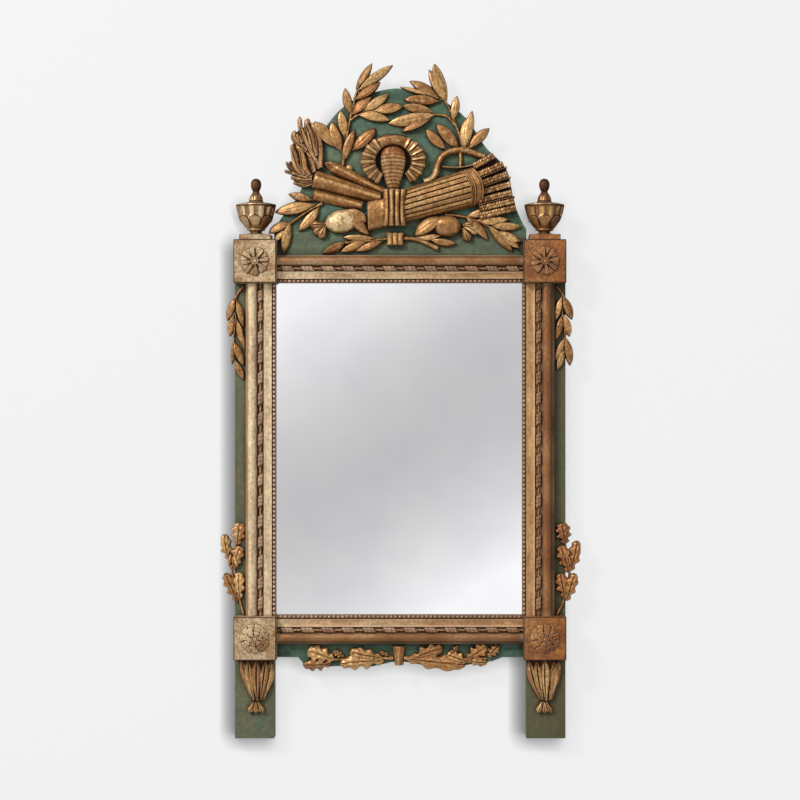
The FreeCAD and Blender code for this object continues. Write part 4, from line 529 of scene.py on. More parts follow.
# Gilding on thick gesso: a creamy, nearly matt gold with a fine net of cracks and pinkish rubs.
BLOCK_GILDING = AgedFinish(
    "gilding_on_gessoed_blocks", deep="#AC7C48", pale="#F2D8AE", recess="#2C180A", edge="#EEDCB6",
    patches=(Patch("#A0745C", 12, 0.54, 0.66, 0.5), Patch("#8A6236", 7, 0.58, 0.68, 0.55),
             Patch("#E8D6B2", 9, 0.56, 0.68, 0.5)),
    metallic=0.2, rough=(0.42, 0.62), tone_share=0.25, recess_grime_and_shade=0.92, edge_rub_and_highlight=0.1, tooth=(2.6, 0.22),
    crackle=5.0, right_side_shade="#C48C48", mottle=(4.5, 0.4),
)

# The rosettes' gilding on its own bole: the blocks' colours, but brown in the gaps between petals, with grime
# and painted shade.
PETAL_GILDING = AgedFinish(
    "gilding_on_carved_rosettes", deep="#946434", pale="#EBCFA2", recess="#1E1008", edge="#F0DCB6",
    patches=(Patch("#94684E", 8, 0.56, 0.68, 0.4),), metallic=0.25, rough=(0.36, 0.56), tone_share=0.85,
    reach=3.5, recess_grime_and_shade=0.96, right_side_shade="#CC9A60", mottle=(4.0, 0.3), tooth=(2.0, 0.15),
)

# Burnished gilding on the turned urns: the brightest metal here, with hard highlights partly painted in the
# urns' tones, and deep brown sides of painted shade.
URN_GILDING = AgedFinish(
    "burnished_gilding_on_turned_urns", deep="#7E4C26", pale="#F0D3A0", recess="#1C0F08", edge="#F2DCB2",
    patches=(Patch("#7A4A2C", 12, 0.56, 0.68, 0.5), Patch("#D8C198", 13, 0.56, 0.7, 0.45)),
    metallic=0.65, rough=(0.22, 0.4), tone_share=0.85, reach=6.0, recess_grime_and_shade=0.94, edge_rub_and_highlight=0.45, right_side_shade="#D8BC96",
)

# Red bole with a little gold left on it, on the ribbon twist: a dull pinkish brown with painted highlights on
# its ridges.
BOLE_GILDING = AgedFinish(
    "rubbed_bole_on_ribbon_twist", deep="#7A4A34", pale="#E2BE96", recess="#26140B", edge="#E2C8A4",
    patches=(Patch("#8E6456", 8, 0.5, 0.64, 0.6),), metallic=0.2, tone_share=0.7, reach=4.0,
    right_side_shade="#D0B69A",
)

# Dark bole on the pearl slips, with gold on the pearls' tops alone, where their tones also paint highlights.
PEARL_GILDING = AgedFinish(
    "dark_bole_with_gilt_pearls", deep="#643624", pale="#EEC8A0", recess="#1E0F0A", edge="#EED2AC",
    patches=(Patch("#6E3A2A", 6, 0.55, 0.66, 0.4),), metallic=0.2, rough=(0.32, 0.52), tone_share=0.92,
    reach=3.0, recess_grime_and_shade=0.8, edge_rub_and_highlight=0.2, right_side_shade="#D0B08C",
)

# Green distemper brushed on pine: a chalky grey-green, streaked along the board, rubbed to ochre and to the
# red-brown priming, and nearly black along its edges, where painted shade darkens the recesses by what lies
# on it.
GREEN_TINTS = dict(
    recess="#161C15", edge="#7C7453", rough=(0.62, 0.85), tone_share=0.1, reach=11.0, edge_rub_and_highlight=0.35,
    tooth=(1.8, 0.1), mottle=(9.0, 0.36),
)
CREST_GREEN = AgedFinish(
    "green_distemper_on_crest_board", deep="#3C5A48", pale="#5F8068", grain=Grain.LEVEL,
    patches=(Patch("#45786E", 22, 0.52, 0.64, 0.6), Patch("#7E9072", 12, 0.54, 0.66, 0.6),
             Patch("#5E4A30", 16, 0.6, 0.72, 0.4)), **GREEN_TINTS,
)
STILE_GREEN = AgedFinish(
    "green_distemper_on_stiles", deep="#46523F", pale="#66705A", grain=Grain.UPRIGHT, right_side_shade="#D0BE9E",
    patches=(Patch("#467A68", 24, 0.52, 0.64, 0.5), Patch("#7A6A40", 14, 0.54, 0.66, 0.6),
             Patch("#7A5138", 12, 0.62, 0.72, 0.5)), **GREEN_TINTS,
)

# Bare pine, two centuries old: dry brown boards whose harder winter rings stand out as dark lines.
PINE_TINTS = dict(
    recess="#2A1E14", edge="#A88A62", rough=(0.7, 0.9), tone_share=0.0, recess_grime_and_shade=0.6, edge_rub_and_highlight=0.25,
    tooth=(3.2, 0.25),
    patches=(Patch("#4F3822", 7, 0.54, 0.64, 0.6), Patch("#8C7A62", 40, 0.52, 0.7, 0.4)),
)
LEVEL_PINE = AgedFinish(
    "old_pine_with_level_grain", deep="#6E5235", pale="#97764E", grain=Grain.LEVEL, **PINE_TINTS,
)
UPRIGHT_PINE = AgedFinish(
    "old_pine_with_upright_grain", deep="#745838", pale="#A07F55", grain=Grain.UPRIGHT, **PINE_TINTS,
)

# Hand-forged iron: a dark brown skin of oxide, dull, with rust in spots and a little bare metal on edges,
# lightened as wear and painted highlight.
FORGED_IRON = AgedFinish(
    "forged_iron_with_rust", deep="#2E2A27", pale="#4A433C", recess="#1A1512", edge="#8C8378",
    patches=(Patch("#6B3B22", 4, 0.55, 0.68, 0.7),), metallic=0.8, rough=(0.45, 0.7), tone_share=0.0,
    recess_grime_and_shade=0.5, edge_rub_and_highlight=0.5, tooth=(0.9, 0.08),
)


@dataclass(frozen=True)
class SilveredGlass:
    """Mercury-silvered plate: a true reflection, a grey cast and faint clouds, with dull dark tin behind."""

    name: str = "mercury_silvered_plate"
    clear: str = "#FBFBFD"
    cloud: str = "#F0F0F3"
    cloud_size: float = 180.0
    tin: str = "#3A3632"
    rough: Pair = (0.03, 0.8)

    def material(self) -> Material:
        """Make the material.

        Returns:
            The material.
        """
        made = bpy.data.materials.new(self.name)
        tree = clear_tree(made)
        place = add(tree, "TexCoord").outputs["Object"]
        clouds = ramp(tree, noise(tree, place, self.cloud_size * MM, 3.0), (0.35, 0.7))
        colour = blend(tree, clouds, self.clear, self.cloud)
        way = add(tree, "NewGeometry").outputs["Normal"]
        behind = add(tree, "SeparateXYZ", {0: way}).outputs[1]
        behind = reckon(tree, "GREATER_THAN", behind, 0.5)
        colour = blend(tree, behind, colour, self.tin)
        metal = reckon(tree, "SUBTRACT", 1.0, behind)
        rough = between(tree, behind, *self.rough)
        shader = add(tree, "BsdfPrincipled", {"Base Color": colour, "Metallic": metal, "Roughness": rough})
        add(tree, "OutputMaterial", {0: shader.outputs[0]})
        return made


def through(knots: Sequence[float], values: Array, at: Array) -> Array:
    """Read a smooth curve that passes through values at knots.

    Args:
        knots: Where the values are given, in rising order.
        values: A row of numbers for each knot.
        at: Where the curve is read.

    Returns:
        A row of numbers for each place in at.
    """
    knots = np.asarray(knots, float)
    values = np.asarray(values, float)
    slopes = np.gradient(values, knots, axis=0)
    index = np.clip(np.searchsorted(knots, at, side="right") - 1, 0, len(knots) - 2)
    step = (knots[index + 1] - knots[index])[:, None]
    u = (at - knots[index])[:, None] / step
    start, end = values[index], values[index + 1]
    leave, arrive = slopes[index] * step, slopes[index + 1] * step
    return ((2 * u ** 3 - 3 * u ** 2 + 1) * start + (u ** 3 - 2 * u ** 2 + u) * leave
            + (3 * u ** 2 - 2 * u ** 3) * end + (u ** 3 - u ** 2) * arrive)


def bell(at: Level, middle: Level, width: float) -> Level:
    """Read a bell curve that is 1 at its middle and falls off over a width."""
    return np.exp(-((at - middle) / width) ** 2)


def smooth_path(places: Sequence[Pair], count: int) -> Array:
    """Draw a smooth line through places on the plane of the frame.

    Args:
        places: The x and z of each place.
        count: How many points the line gets.

    Returns:
        The x and z of its points.
    """
    points = np.asarray(places, float)
    steps = np.linalg.norm(np.diff(points, axis=0), axis=1)
    knots = np.concatenate(([0.0], np.cumsum(steps)))
    return through(knots, points, np.linspace(0, knots[-1], count))


def crest_place(u_share: float, v_share: float) -> Pair:
    """Give the x and z of a place on the crest, from shares of its width and height."""
    return u_share * CREST_WIDTH, RAIL_EDGE + v_share * CREST_HEIGHT


def apron_place(u_share: float, v_share: float) -> Pair:
    """Give the x and z of a place on the apron, from shares of its width."""
    return u_share * APRON_WIDTH, -RAIL_EDGE + v_share * APRON_WIDTH


def add_object(name: str, data: bpy.types.ID) -> bpy.types.Object:
    """Make an object and put it in the scene.

    Args:
        name: Its name.
        data: Its mesh, lamp or camera.

    Returns:
        The object.
    """
    made = bpy.data.objects.new(name, data)
    bpy.context.scene.collection.objects.link(made)
    return made


def stand_for(nodes: Sequence[str], name: str, shape: bmesh.types.BMesh, tones: Sequence[float],
              finishes: Sequence[AgedFinish], sharp: float) -> None:
    """Make a piece and put it on the frame's body in place of its solids.

    Args:
        nodes: The solids that it stands for.
        name: Its name.
        shape: Its shape in metres, which is used up.
        tones: The tone of its finish at each vertex.
        finishes: Its finishes, in the order of its faces' numbers.
        sharp: The angle in degrees over which an edge stays sharp.
    """
    mesh = bpy.data.meshes.new(name)
    shape.to_mesh(mesh)
    shape.free()
    mesh.attributes.new("tone", "FLOAT", "POINT").data.foreach_set("value", np.array(tones, np.float32))
    mesh.shade_smooth()
    mesh.set_sharp_from_angle(angle=math.radians(sharp))
    for finish in finishes:
        mesh.materials.append(finish.material())
    piece = add_object(name, mesh)
    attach(piece, "frame")
    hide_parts(*nodes)
    log.info("%s: %d vertices, for %s", name, len(mesh.vertices), ", ".join(nodes))


@dataclass(frozen=True)
class LeafForm:
    """How one kind of carved leaf, petal or tongue is shaped.

    Attributes:
        outline: Along the leaf, its half width and the height of its rib, all as shares.
        edge: Height of its edge as a share of the height beside it.
        dome: How full it is across; less is fuller.
        groove: Depth of the groove along its rib, as a share of its relief.
        veins: How many side veins it has.
        vein_depth: Their depth as a share of its relief.
        lobes: How many lobes stand out on each side.
        lobe_depth: Their depth as a share of the half width.
        bend: How far its rib may bow sideways, as a share of its length.
        tilt: How far it may lean to one side, as a share of its relief.
        rim: How far the rim round its face stands up, as a share of its relief.
        ribs: How many ribs run along each half of it.
        rib_depth: The depth between them as a share of its relief.
    """

    outline: Rows
    edge: float = 0.4
    dome: float = 0.55
    groove: float = 0.22
    veins: int = 0
    vein_depth: float = 0.0
    lobes: int = 0
    lobe_depth: float = 0.0
    bend: float = 0.035
    tilt: float = 0.22
    rim: float = 0.0
    ribs: float = 0.0
    rib_depth: float = 0.0


LAUREL = LeafForm(
    ((0.0, 0.12, 0.55), (0.15, 0.58, 0.82), (0.38, 0.97, 1.0), (0.6, 0.98, 0.98), (0.8, 0.74, 0.88),
     (0.93, 0.38, 0.7), (1.0, 0.12, 0.45)),
    edge=0.5, dome=0.4, groove=0.05, tilt=0.32, rim=0.05,
)
OAK = LeafForm(
    OAK_OUTLINE, edge=0.42, groove=0.28, veins=4, vein_depth=0.18, lobes=4, lobe_depth=0.16, tilt=0.3,
)
PETAL = LeafForm(
    ((0.0, 0.4, 0.75), (0.35, 0.72, 0.95), (0.72, 1.0, 1.0), (0.92, 0.8, 0.85), (1.0, 0.38, 0.55)),
    edge=0.5, groove=0.1, tilt=0.12, bend=0.0, ribs=1.5, rib_depth=0.18,
)
BUD = LeafForm(PETAL_OUTLINE, edge=0.45, groove=0.15, tilt=0.25, bend=0.02)
HUSK = LeafForm(HUSK_OUTLINE, edge=0.42, groove=0.3, tilt=0.25, bend=0.04)
BULB = LeafForm(
    ((0.0, 0.4, 0.55), (0.12, 0.74, 0.82), (0.38, 1.0, 1.0), (0.68, 0.96, 1.0), (0.88, 0.7, 0.85),
     (1.0, 0.35, 0.55)),
    edge=0.35, dome=0.5, groove=0.0, tilt=0.1, bend=0.0,
)


class Carving:
    """The closed skins of one piece, gathered in millimetres and made into a mesh at the end."""

    def __init__(self, seed: int) -> None:
        """Start an empty piece.

        Args:
            seed: The seed of its own small irregularities.
        """
        self.chance = random.Random(seed)
        self.points: list[Array] = []
        self.faces: list[tuple[int, ...]] = []
        self.tones: list[Array] = []
        self.size = 0

    def skin(self, loops: Array, tone: Level) -> None:
        """Close a skin over loops with the same number of points.

        Args:
            loops: The points, by loop, by point, by axis.
            tone: The tone of its finish, one for all or by loop and point.
        """
        rows, columns = loops.shape[:2]
        grid = np.arange(rows * columns).reshape(rows, columns) + self.size
        near, far = grid[:-1], grid[1:]
        quads = np.stack((near, np.roll(near, -1, 1), np.roll(far, -1, 1), far), -1).reshape(-1, 4)
        self.faces += [tuple(quad) for quad in quads.tolist()]
        self.faces += [tuple(grid[0][::-1].tolist()), tuple(grid[-1].tolist())]
        self.points.append(loops.reshape(-1, 3))
        self.tones.append(np.broadcast_to(np.asarray(tone, float), (rows, columns)).ravel())
        self.size += rows * columns

    def relief(self, path: Array, half: Level, heights: Level, tone: Level, across: Array = ACROSS,
               ground: float = FRONT, shift: Level = 0.0, undercut: float = 0.9, skirt: float = 0.0) -> None:
        """Lay a raised form along a path on flat ground.

        What is given for the form may be one number, one by path point, or one by path and section point.

        Args:
            path: The x and z of its middle line.
            half: Its half width.
            heights: How far it stands out.
            tone: The tone of its finish.
            across: Where the section's points lie, from -1 to 1.
            ground: The y of the ground.
            shift: How far each point is moved along the path.
            undercut: Half width of its foot as a share of its edge's.
            skirt: Width in millimetres of the steep bevel round its face, darkened as an outline of painted
                shade.
        """
        run = np.gradient(path, axis=0)
        run /= np.linalg.norm(run, axis=1)[:, None]
        side = np.stack((run[:, 1], -run[:, 0]), -1)
        size = (len(path), len(across))
        half = half[:, None] if np.ndim(half) == 1 else half
        full = np.broadcast_to(half * across, size)
        heights, tones, moved = (np.broadcast_to(np.asarray(part, float), size)
                                 for part in (heights, tone, shift))
        wide, levels = full, ground - heights
        rims, feet = ((0, 0), (1, 1)), ((0, 0), (2, 2))
        if skirt:
            bevel, lip_share, fall_share = 0.4, 0.3, 0.78
            wide = full * (1 - np.minimum(2 * skirt / (full[:, -1:] - full[:, :1]), bevel))
            lip = wide + lip_share * (full - wide)
            fall = ground - fall_share * heights
            wide = np.concatenate((lip[:, :1], wide, lip[:, -1:]), 1)
            levels = np.concatenate((fall[:, :1], levels, fall[:, -1:]), 1)
            # The bevel's tone paints a dark outline of shade round the face.
            tones = np.pad(tones, rims, constant_values=BEVEL_TONE)
            moved = np.pad(moved, rims, mode="edge")
            undercut = 1.0
        left, right = full[:, :1] * undercut, full[:, -1:] * undercut
        wide = np.concatenate((0.9 * left, left, wide, right, 0.9 * right), 1)
        seat = SEAT * (1 - SEAT_STEP * (len(self.points) % SEAT_STEPS))
        levels = np.pad(levels, feet, constant_values=ground + seat)
        flat = path[:, None, :] + side[:, None, :] * wide[..., None]
        flat = flat + run[:, None, :] * np.pad(moved, feet, mode="edge")[..., None]
        tones = np.pad(np.pad(tones, rims, mode="edge"), rims, constant_values=BACK_TONE)
        self.skin(np.stack((flat[..., 0], levels, flat[..., 1]), -1), tones)

    def leaf(self, base: Point, tip: Point, width: float, relief: float, form: LeafForm,
             ground: float = FRONT, tone: float | None = None) -> None:
        """Carve a leaf, petal or tongue.

        Args:
            base: The x and z of its foot.
            tip: The x and z of its tip.
            width: Its full width.
            relief: How far it stands out.
            form: How its kind is shaped.
            ground: The y of the ground.
            tone: The tone of its finish, or None for one by chance.
        """
        if tone is None:
            tone = self.chance.uniform(-0.05, 1.15)
        s = np.linspace(0, 1, 44 if form.lobes else 26)
        rows = np.asarray(form.outline)
        shares = through(rows[:, 0], rows[:, 1:], s)
        run = np.subtract(tip, base)
        side = np.array((run[1], -run[0]))
        bend = form.bend * self.chance.uniform(-1, 1) * np.sin(math.pi * s)
        self.chance.random()  # spent, so that what is drawn after it stays as it is
        path = np.add(base, run * s[:, None]) + side * bend[:, None]
        s = s[:, None]
        half = np.maximum(shares[:, :1] * width / 2, 0.2)
        t = np.abs(ACROSS)
        if form.lobes:
            phase = form.lobes * s + 0.25 * (ACROSS > 0)
            half = half * (1 - form.lobe_depth * (0.5 + 0.5 * np.cos(2 * math.pi * phase)))
        lift = 1 + self.chance.uniform(-0.08, 0.08)
        body = form.edge + (1 - form.edge) * (1 - t ** 2.2) ** form.dome
        body = body - form.groove * bell(ACROSS, 0, 0.11) + form.rim * bell(t, 0.86, 0.1)
        body = body - form.rib_depth * (0.5 - 0.5 * np.cos(2 * math.pi * form.ribs * ACROSS))
        body = body + form.tilt * self.chance.uniform(-1, 1) * ACROSS
        veins = 0.5 + 0.5 * np.cos(2 * math.pi * (form.veins * s - 1.3 * t))
        body = body - form.vein_depth * veins * t * (1 - t) * 4
        heights = np.maximum(relief * lift * shares[:, 1:] * body, 0.12 * relief)
        # Painted shade: darker at the foot and the tip, in the veins and between the ribs; one side a little
        # lighter.
        tones = tone - 0.3 * bell(s, 0, 0.12) + 0.2 * form.tilt * ACROSS
        tones = tones - 1.5 * bell(s, 1, 0.03) - 0.5 * form.vein_depth * veins
        tones = tones - 2.5 * form.rib_depth * np.sin(math.pi * form.ribs * ACROSS) ** 2
        self.relief(path, half, heights, tones, ground=ground, skirt=min(1.3, 0.09 * width))

    def leaves(self, rows: Rows, place: Place, relief: float, form: LeafForm, width: float = 0.0) -> None:
        """Carve a leaf for each row of base, tip and width share.

        Args:
            rows: The rows, in shares.
            place: The function that turns shares to x and z.
            relief: How far the leaves stand out.
            form: How they are shaped.
            width: Their width where the rows have no width share.
        """
        fullness = 1.08
        for base_u, base_v, tip_u, tip_v, *share in rows:
            base, tip = place(base_u, base_v), place(tip_u, tip_v)
            wide = fullness * math.dist(base, tip) * share[0] if share else width
            self.leaf(base, tip, wide, relief, form)

    def stem(self, places: Sequence[Point], width: float, relief: float, tone: float = 0.4,
             ends: Pair = (1.0, 0.7), knots: float = 0.07) -> None:
        """Carve a round stem through places.

        Args:
            places: The x and z of each place.
            width: Its width.
            relief: How far it stands out.
            tone: The tone of its finish.
            ends: Its width at the start and the end as shares.
            knots: How far its knots swell it, as a share.
        """
        count = 10 * len(places)
        s = np.linspace(0, 1, count)
        swell = 1 + knots * np.sin(s * count * 0.9) + 0.6 * knots * np.sin(s * count * 2.3)
        half = width / 2 * (ends[0] + (ends[1] - ends[0]) * s) * swell
        heights = relief * swell[:, None] * np.sqrt(1 - (0.92 * ACROSS) ** 2)
        # Painted shade: the stem darkens toward its sides.
        tones = tone + 0.12 * np.sin(s[:, None] * count * 0.4) - 0.25 * ACROSS ** 2
        self.relief(smooth_path(places, count), half, heights, tones, skirt=0.08 * width)

    def boss(self, centre: Point, radius: float, rows: Rows, ground: float, tone: Level, steps: int) -> None:
        """Carve a round form that stands out from the ground.

        Args:
            centre: The x and z of its middle.
            radius: Its radius.
            rows: Radius share and height in millimetres, from its foot to its top.
            ground: The y of the ground.
            tone: The tone of its finish.
            steps: How many points go round it.
        """
        turns = np.linspace(0, 2 * math.pi, steps, endpoint=False)
        loops = [np.stack((centre[0] + radius * share * np.cos(turns), np.full(steps, ground - height),
                           centre[1] + radius * share * np.sin(turns)), -1) for share, height in rows]
        self.skin(np.array(loops), tone)

    def turned(self, centre: Pair, rows: Rows, swell: Array, tone: Level, rise: Level = 0.0,
               depth: float = 1.0) -> None:
        """Turn a form round an upright line.

        Args:
            centre: The x and y of the line.
            rows: Radius and z of its outline, from foot to top.
            swell: A factor on the radius, by outline row and by step round.
            tone: The tone of its finish.
            rise: How far each point is moved up, one for all or by outline row and by step round.
            depth: Its depth, front to back, as a share of its width.
        """
        turns = np.linspace(0, 2 * math.pi, swell.shape[1], endpoint=False)
        outline = np.asarray(rows)
        reach = outline[:, :1] * swell
        level = outline[:, 1:] + np.zeros_like(swell) + rise
        front = centre[1] + depth * reach * np.sin(turns)
        self.skin(np.stack((centre[0] + reach * np.cos(turns), front, level), -1), tone)

    def piece(self, name: str, finish: AgedFinish, nodes: Sequence[str], slot: str = "gilt_wood",
              sharp: float = 42.0) -> None:
        """Make the piece from its skins and put it on the frame.

        Args:
            name: The piece's name.
            finish: Its finish.
            nodes: The solids that it stands for.
            slot: Not used.
            sharp: The angle in degrees over which an edge stays sharp.
        """
        points = np.clip(np.concatenate(self.points) * MM, *np.array(CAD_BOUNDS))
        skins = bpy.data.meshes.new(name + "_skins")
        skins.from_pydata(points.tolist(), [], self.faces)
        shape = bmesh.new()
        shape.from_mesh(skins)
        bpy.data.meshes.remove(skins)
        bmesh.ops.recalc_face_normals(shape, faces=shape.faces)
        stand_for(nodes, name, shape, np.concatenate(self.tones), (finish,), sharp)


def eased_copy(node: str, finish: AgedFinish, back: AgedFinish, radius: float,
               boxed: bool = False, line: float = 0.0) -> None:
    """Stand for a solid with a copy of it whose edges are eased, as a plane and paint leave them.

    Args:
        node: The solid.
        finish: The finish of its front and sides.
        back: The finish of what faces the wall.
        radius: How far its edges are eased.
        boxed: Whether its own box is used, where carving covers what is sunk in its face.
        line: How far onto each face a dark line of painted shade and grime lies along its edges, in
            millimetres.
    """
    level, hard_turn, least_flat = math.radians(0.5), math.radians(40), 100 * MM * MM
    shape = bmesh.new()
    if boxed:
        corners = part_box(node)
        for vert in bmesh.ops.create_cube(shape, size=2.0)["verts"]:
            vert.co = [corners[int(part > 0)][axis] for axis, part in enumerate(vert.co)]
    else:
        shape.from_mesh(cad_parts[node].data)
    bmesh.ops.remove_doubles(shape, verts=shape.verts, dist=0.02 * MM)
    bmesh.ops.dissolve_limit(shape, angle_limit=level, verts=shape.verts, edges=shape.edges)
    hard = [edge for edge in shape.edges if edge.is_manifold and edge.calc_face_angle(0) > hard_turn]
    bmesh.ops.bevel(shape, geom=hard, offset=radius * MM, segments=3, profile=0.6, affect="EDGES",
                    clamp_overlap=True)
    flats = [face for face in shape.faces if face.calc_area() > least_flat]
    if line:
        bmesh.ops.inset_individual(shape, faces=flats, thickness=line * MM)
    clean = {vert for face in flats for vert in face.verts} if line else set(shape.verts)
    bmesh.ops.recalc_face_normals(shape, faces=shape.faces)
    for face in shape.faces:
        face.material_index = int(face.normal.y > 0.9)
    # Vertices along the edges take the line tone, painted shade with grime; the rest stay flat.
    tones = [FLAT_TONE if vert in clean else LINE_TONE for vert in shape.verts]
    stand_for((node,), node + "_eased", shape, tones, (finish, back), 40)


def dress(node: str, material: Material) -> None:
    """Give a solid that stays a material.

    Args:
        node: The solid.
        material: The material.
    """
    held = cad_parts[node].data.materials
    held.clear()
    held.append(material)
    log.info("%s: kept, in %s", node, material.name)


def arc(start: Pair, middle: Pair, end: Pair, count: int) -> list[Pair]:
    """Give places along the circle through three points.

    Args:
        start: The first point.
        middle: A point between.
        end: The last point.
        count: How many places, both ends among them.

    Returns:
        The places.
    """
    a, b, c = (complex(*point) for point in (start, middle, end))
    ratio = (c - a) / (b - a)
    centre = (b - a) * (ratio - abs(ratio) ** 2) / (ratio - ratio.conjugate()) + a
    turn = np.angle((b - centre) / (a - centre)) + np.angle((c - centre) / (b - centre))
    spokes = (a - centre) * np.exp(1j * turn * np.linspace(0, 1, count)) + centre
    return [(spoke.real, spoke.imag) for spoke in spokes]


@dataclass
class Carcass:
    """The painted pine frame with its crest board, battens and back boards."""

    edge: float = 1.2
    painted: tuple[tuple[str, AgedFinish], ...] = (
        ("stile_left", STILE_GREEN), ("stile_right", STILE_GREEN), ("rail_top", CREST_GREEN),
        ("rail_bottom", CREST_GREEN), ("crest_board", CREST_GREEN),
    )

    def build(self) -> None:
        """Ease and paint the front boards and give the hidden ones their wood."""
        for node, paint in self.painted:
            eased_copy(node, paint, LEVEL_PINE, self.edge)
        dress("backboards", LEVEL_PINE.material())
        dress("glass_blocks", UPRIGHT_PINE.material())
        for name, _ in SIDES:
            dress("crest_batten_" + name, UPRIGHT_PINE.material())


@dataclass
class MirrorPlate:
    """The silvered plate, which is right as its solid has it."""

    silvering: SilveredGlass = field(default_factory=SilveredGlass)

    def build(self) -> None:
        """Silver the plate."""
        dress("mirror_glass", self.silvering.material())


@dataclass
class Hangers:
    """The iron straps, rings, screws and nails, which are right as their solids have them."""

    nodes: tuple[str, ...] = (
        "hanger_straps", "hanging_ring_left", "hanging_ring_right", "wood_screws", "backboard_nails",
    )

    def build(self) -> None:
        """Give the iron its skin."""
        for node in self.nodes:
            dress(node, FORGED_IRON.material())


class Run(Enum):
    """The four straight runs of moulding, clockwise, with the run's direction and outward side."""

    LEFT = ((0, 1), (-1, 0))
    TOP = ((1, 0), (0, 1))
    RIGHT = ((0, -1), (1, 0))
    BOTTOM = ((-1, 0), (0, -1))


@dataclass
class MouldingRun:
    """One straight run of gilt moulding with its ribbon twist and its pearl strip."""

    run: Run
    side_width: float = 55.5
    rail_width: float = 50.0
    relief: float = 22.0
    strip_width: float = 9.4
    slip_width: float = 7.4
    strip_relief: float = 7.0
    pearl_radius: float = 3.2
    pearl_pitch: float = 7.85
    neck_radius: float = 1.3
    wrap_pitch: float = 36.4
    wrap_length: float = 22.5
    wrap_width: float = 11.0
    wrap_relief: float = 9.0
    wrap_slant: float = 6.0
    wrap_folds: int = 3
    cord_width: float = 3.6
    cord_relief: float = 6.0
    cord_lay: float = 6.5
    station: float = 6.0
    cord_station: float = 1.6
    slip_station: float = 12.0
    torus_steps: int = 15
    band_steps: int = 8
    wrap_steps: int = 24
    channel_middle: float = 0.565
    channel_floor: float = 0.36
    pearl_line: float = 5.8
    pearl_degrees: tuple[float, ...] = (-10, 5, 24, 44, 62, 78, 88)
    # Tones round each pearl from foot to top: painted shade at the foot and a painted highlight on the top.
    pearl_tones: tuple[float, ...] = (-0.5, 0.1, 0.5, 0.9, 1, 1, 1)
    laps: dict[Run, float] = field(default_factory=lambda: {
        Run.LEFT: 0.0, Run.TOP: 1.2, Run.RIGHT: 4.0, Run.BOTTOM: 3.5,
    })
    # Tones by run of the edge, foot, outer and inner torus, channel floor, near and far band, and pearls:
    # painted light and shade, each run lighter or darker as light falls on it, and the channel floor dark
    # with painted shade.
    tones: dict[Run, tuple[float, ...]] = field(default_factory=lambda: {
        Run.LEFT: (-0.15, -0.1, 0.95, 1.05, -0.6, 1.0, 1.0, 1.2),
        Run.TOP: (-0.2, -0.45, 0.0, 0.45, -0.4, 0.85, 0.9, 0.8),
        Run.RIGHT: (-0.6, -0.45, -0.15, 0.12, 0.4, 0.5, 0.72, 1.1),
        Run.BOTTOM: (-0.5, -0.45, -0.2, 0.1, -0.45, 0.35, 0.6, 0.6),
    })

    def __post_init__(self) -> None:
        """Work out the run's name, ways, length, width and seed."""
        self.name = self.run.name.lower()
        self.along, self.outward = (np.array(way, float) for way in self.run.value)
        self.upright = self.run in (Run.LEFT, Run.RIGHT)
        self.half_length = SIGHT_HALF_HEIGHT if self.upright else SIGHT_HALF_WIDTH
        self.length = 2 * self.half_length
        self.width = self.side_width if self.upright else self.rail_width
        self.sight = SIGHT_HALF_WIDTH if self.upright else SIGHT_HALF_HEIGHT
        self.seed = 40 + list(Run).index(self.run)
        self.lap = self.laps[self.run]
        self.own = self.width - self.strip_width + self.lap

    def line(self, out: float, start: float, end: float, count: int) -> Array:
        """Give points of a line along the run.

        Args:
            out: How far out it lies from the sight edge.
            start: Where it starts, from the run's middle.
            end: Where it ends.
            count: How many points it has.

        Returns:
            Their x and z.
        """
        steps = np.linspace(start, end, count)[:, None]
        return self.outward * (self.sight + out) + self.along * steps

    def whole(self, out: float, count: int) -> Array:
        """Give points of a line along the whole run, a way out from the sight edge."""
        return self.line(out, -self.half_length, self.half_length, count)

    def profile(self) -> tuple[Array, Array, Array]:
        """Give the moulding's section.

        Returns:
            Where its points lie across, from -1 at the outer edge to 1, how high they stand, and their tones.
        """
        rows = []
        for shares, count in ((FILLET, 0), (TORUS, self.torus_steps), (CHANNEL, 0),
                              (BAND, self.band_steps)):
            places = [(across * self.own, up * self.relief) for across, up in shares]
            rows += arc(*places, count) if count else places
        rows = np.array(rows + [(self.own, 0.0)])
        edge, foot, outer, inner, floor, near, far = self.tones[self.run][:7]
        # Painted shade at the torus's outer foot, rising to the run's inner tone.
        torus = np.interp(np.linspace(0, 1, self.torus_steps), (0, 0.3, 0.42, 1),
                          (outer - 0.5, outer - 0.4, outer, inner))
        band = np.linspace(near, far, self.band_steps)
        tones = ((foot, edge, foot), torus, (inner, floor, floor, near), band, (0.0,))
        return 2 * rows[:, 0] / self.own - 1, rows[:, 1], np.concatenate(tones)

    def build(self) -> None:
        """Plane the moulding, lay the twist in its channel and set the pearls."""
        self.build_moulding()
        self.build_twist()
        self.build_pearls()

    def build_moulding(self) -> None:
        """Plane the moulding, a little unevenly, as by hand."""
        work = Carving(self.seed)
        across, up, tones = self.profile()
        count = int(self.length / self.station)
        s = np.linspace(0, self.length, count)[:, None]
        wave = 0.012 * np.sin(s / 31 + self.seed) + 0.008 * np.sin(s / 11 + across * 2)
        heights = np.maximum(up * (1 + wave), 0)
        tones = tones + 0.12 * np.sin(s / 37 + 2 * across) + 0.1 * np.sin(s / 13 + self.seed)
        path = self.whole(self.width - self.own / 2, count)
        work.relief(path, self.own / 2, heights, tones, across, undercut=1.0)
        finish = UPRIGHT_GILDING if self.upright else LEVEL_GILDING
        work.piece("moulding_" + self.name, finish, ("frame_moulding_" + self.name,), sharp=35)

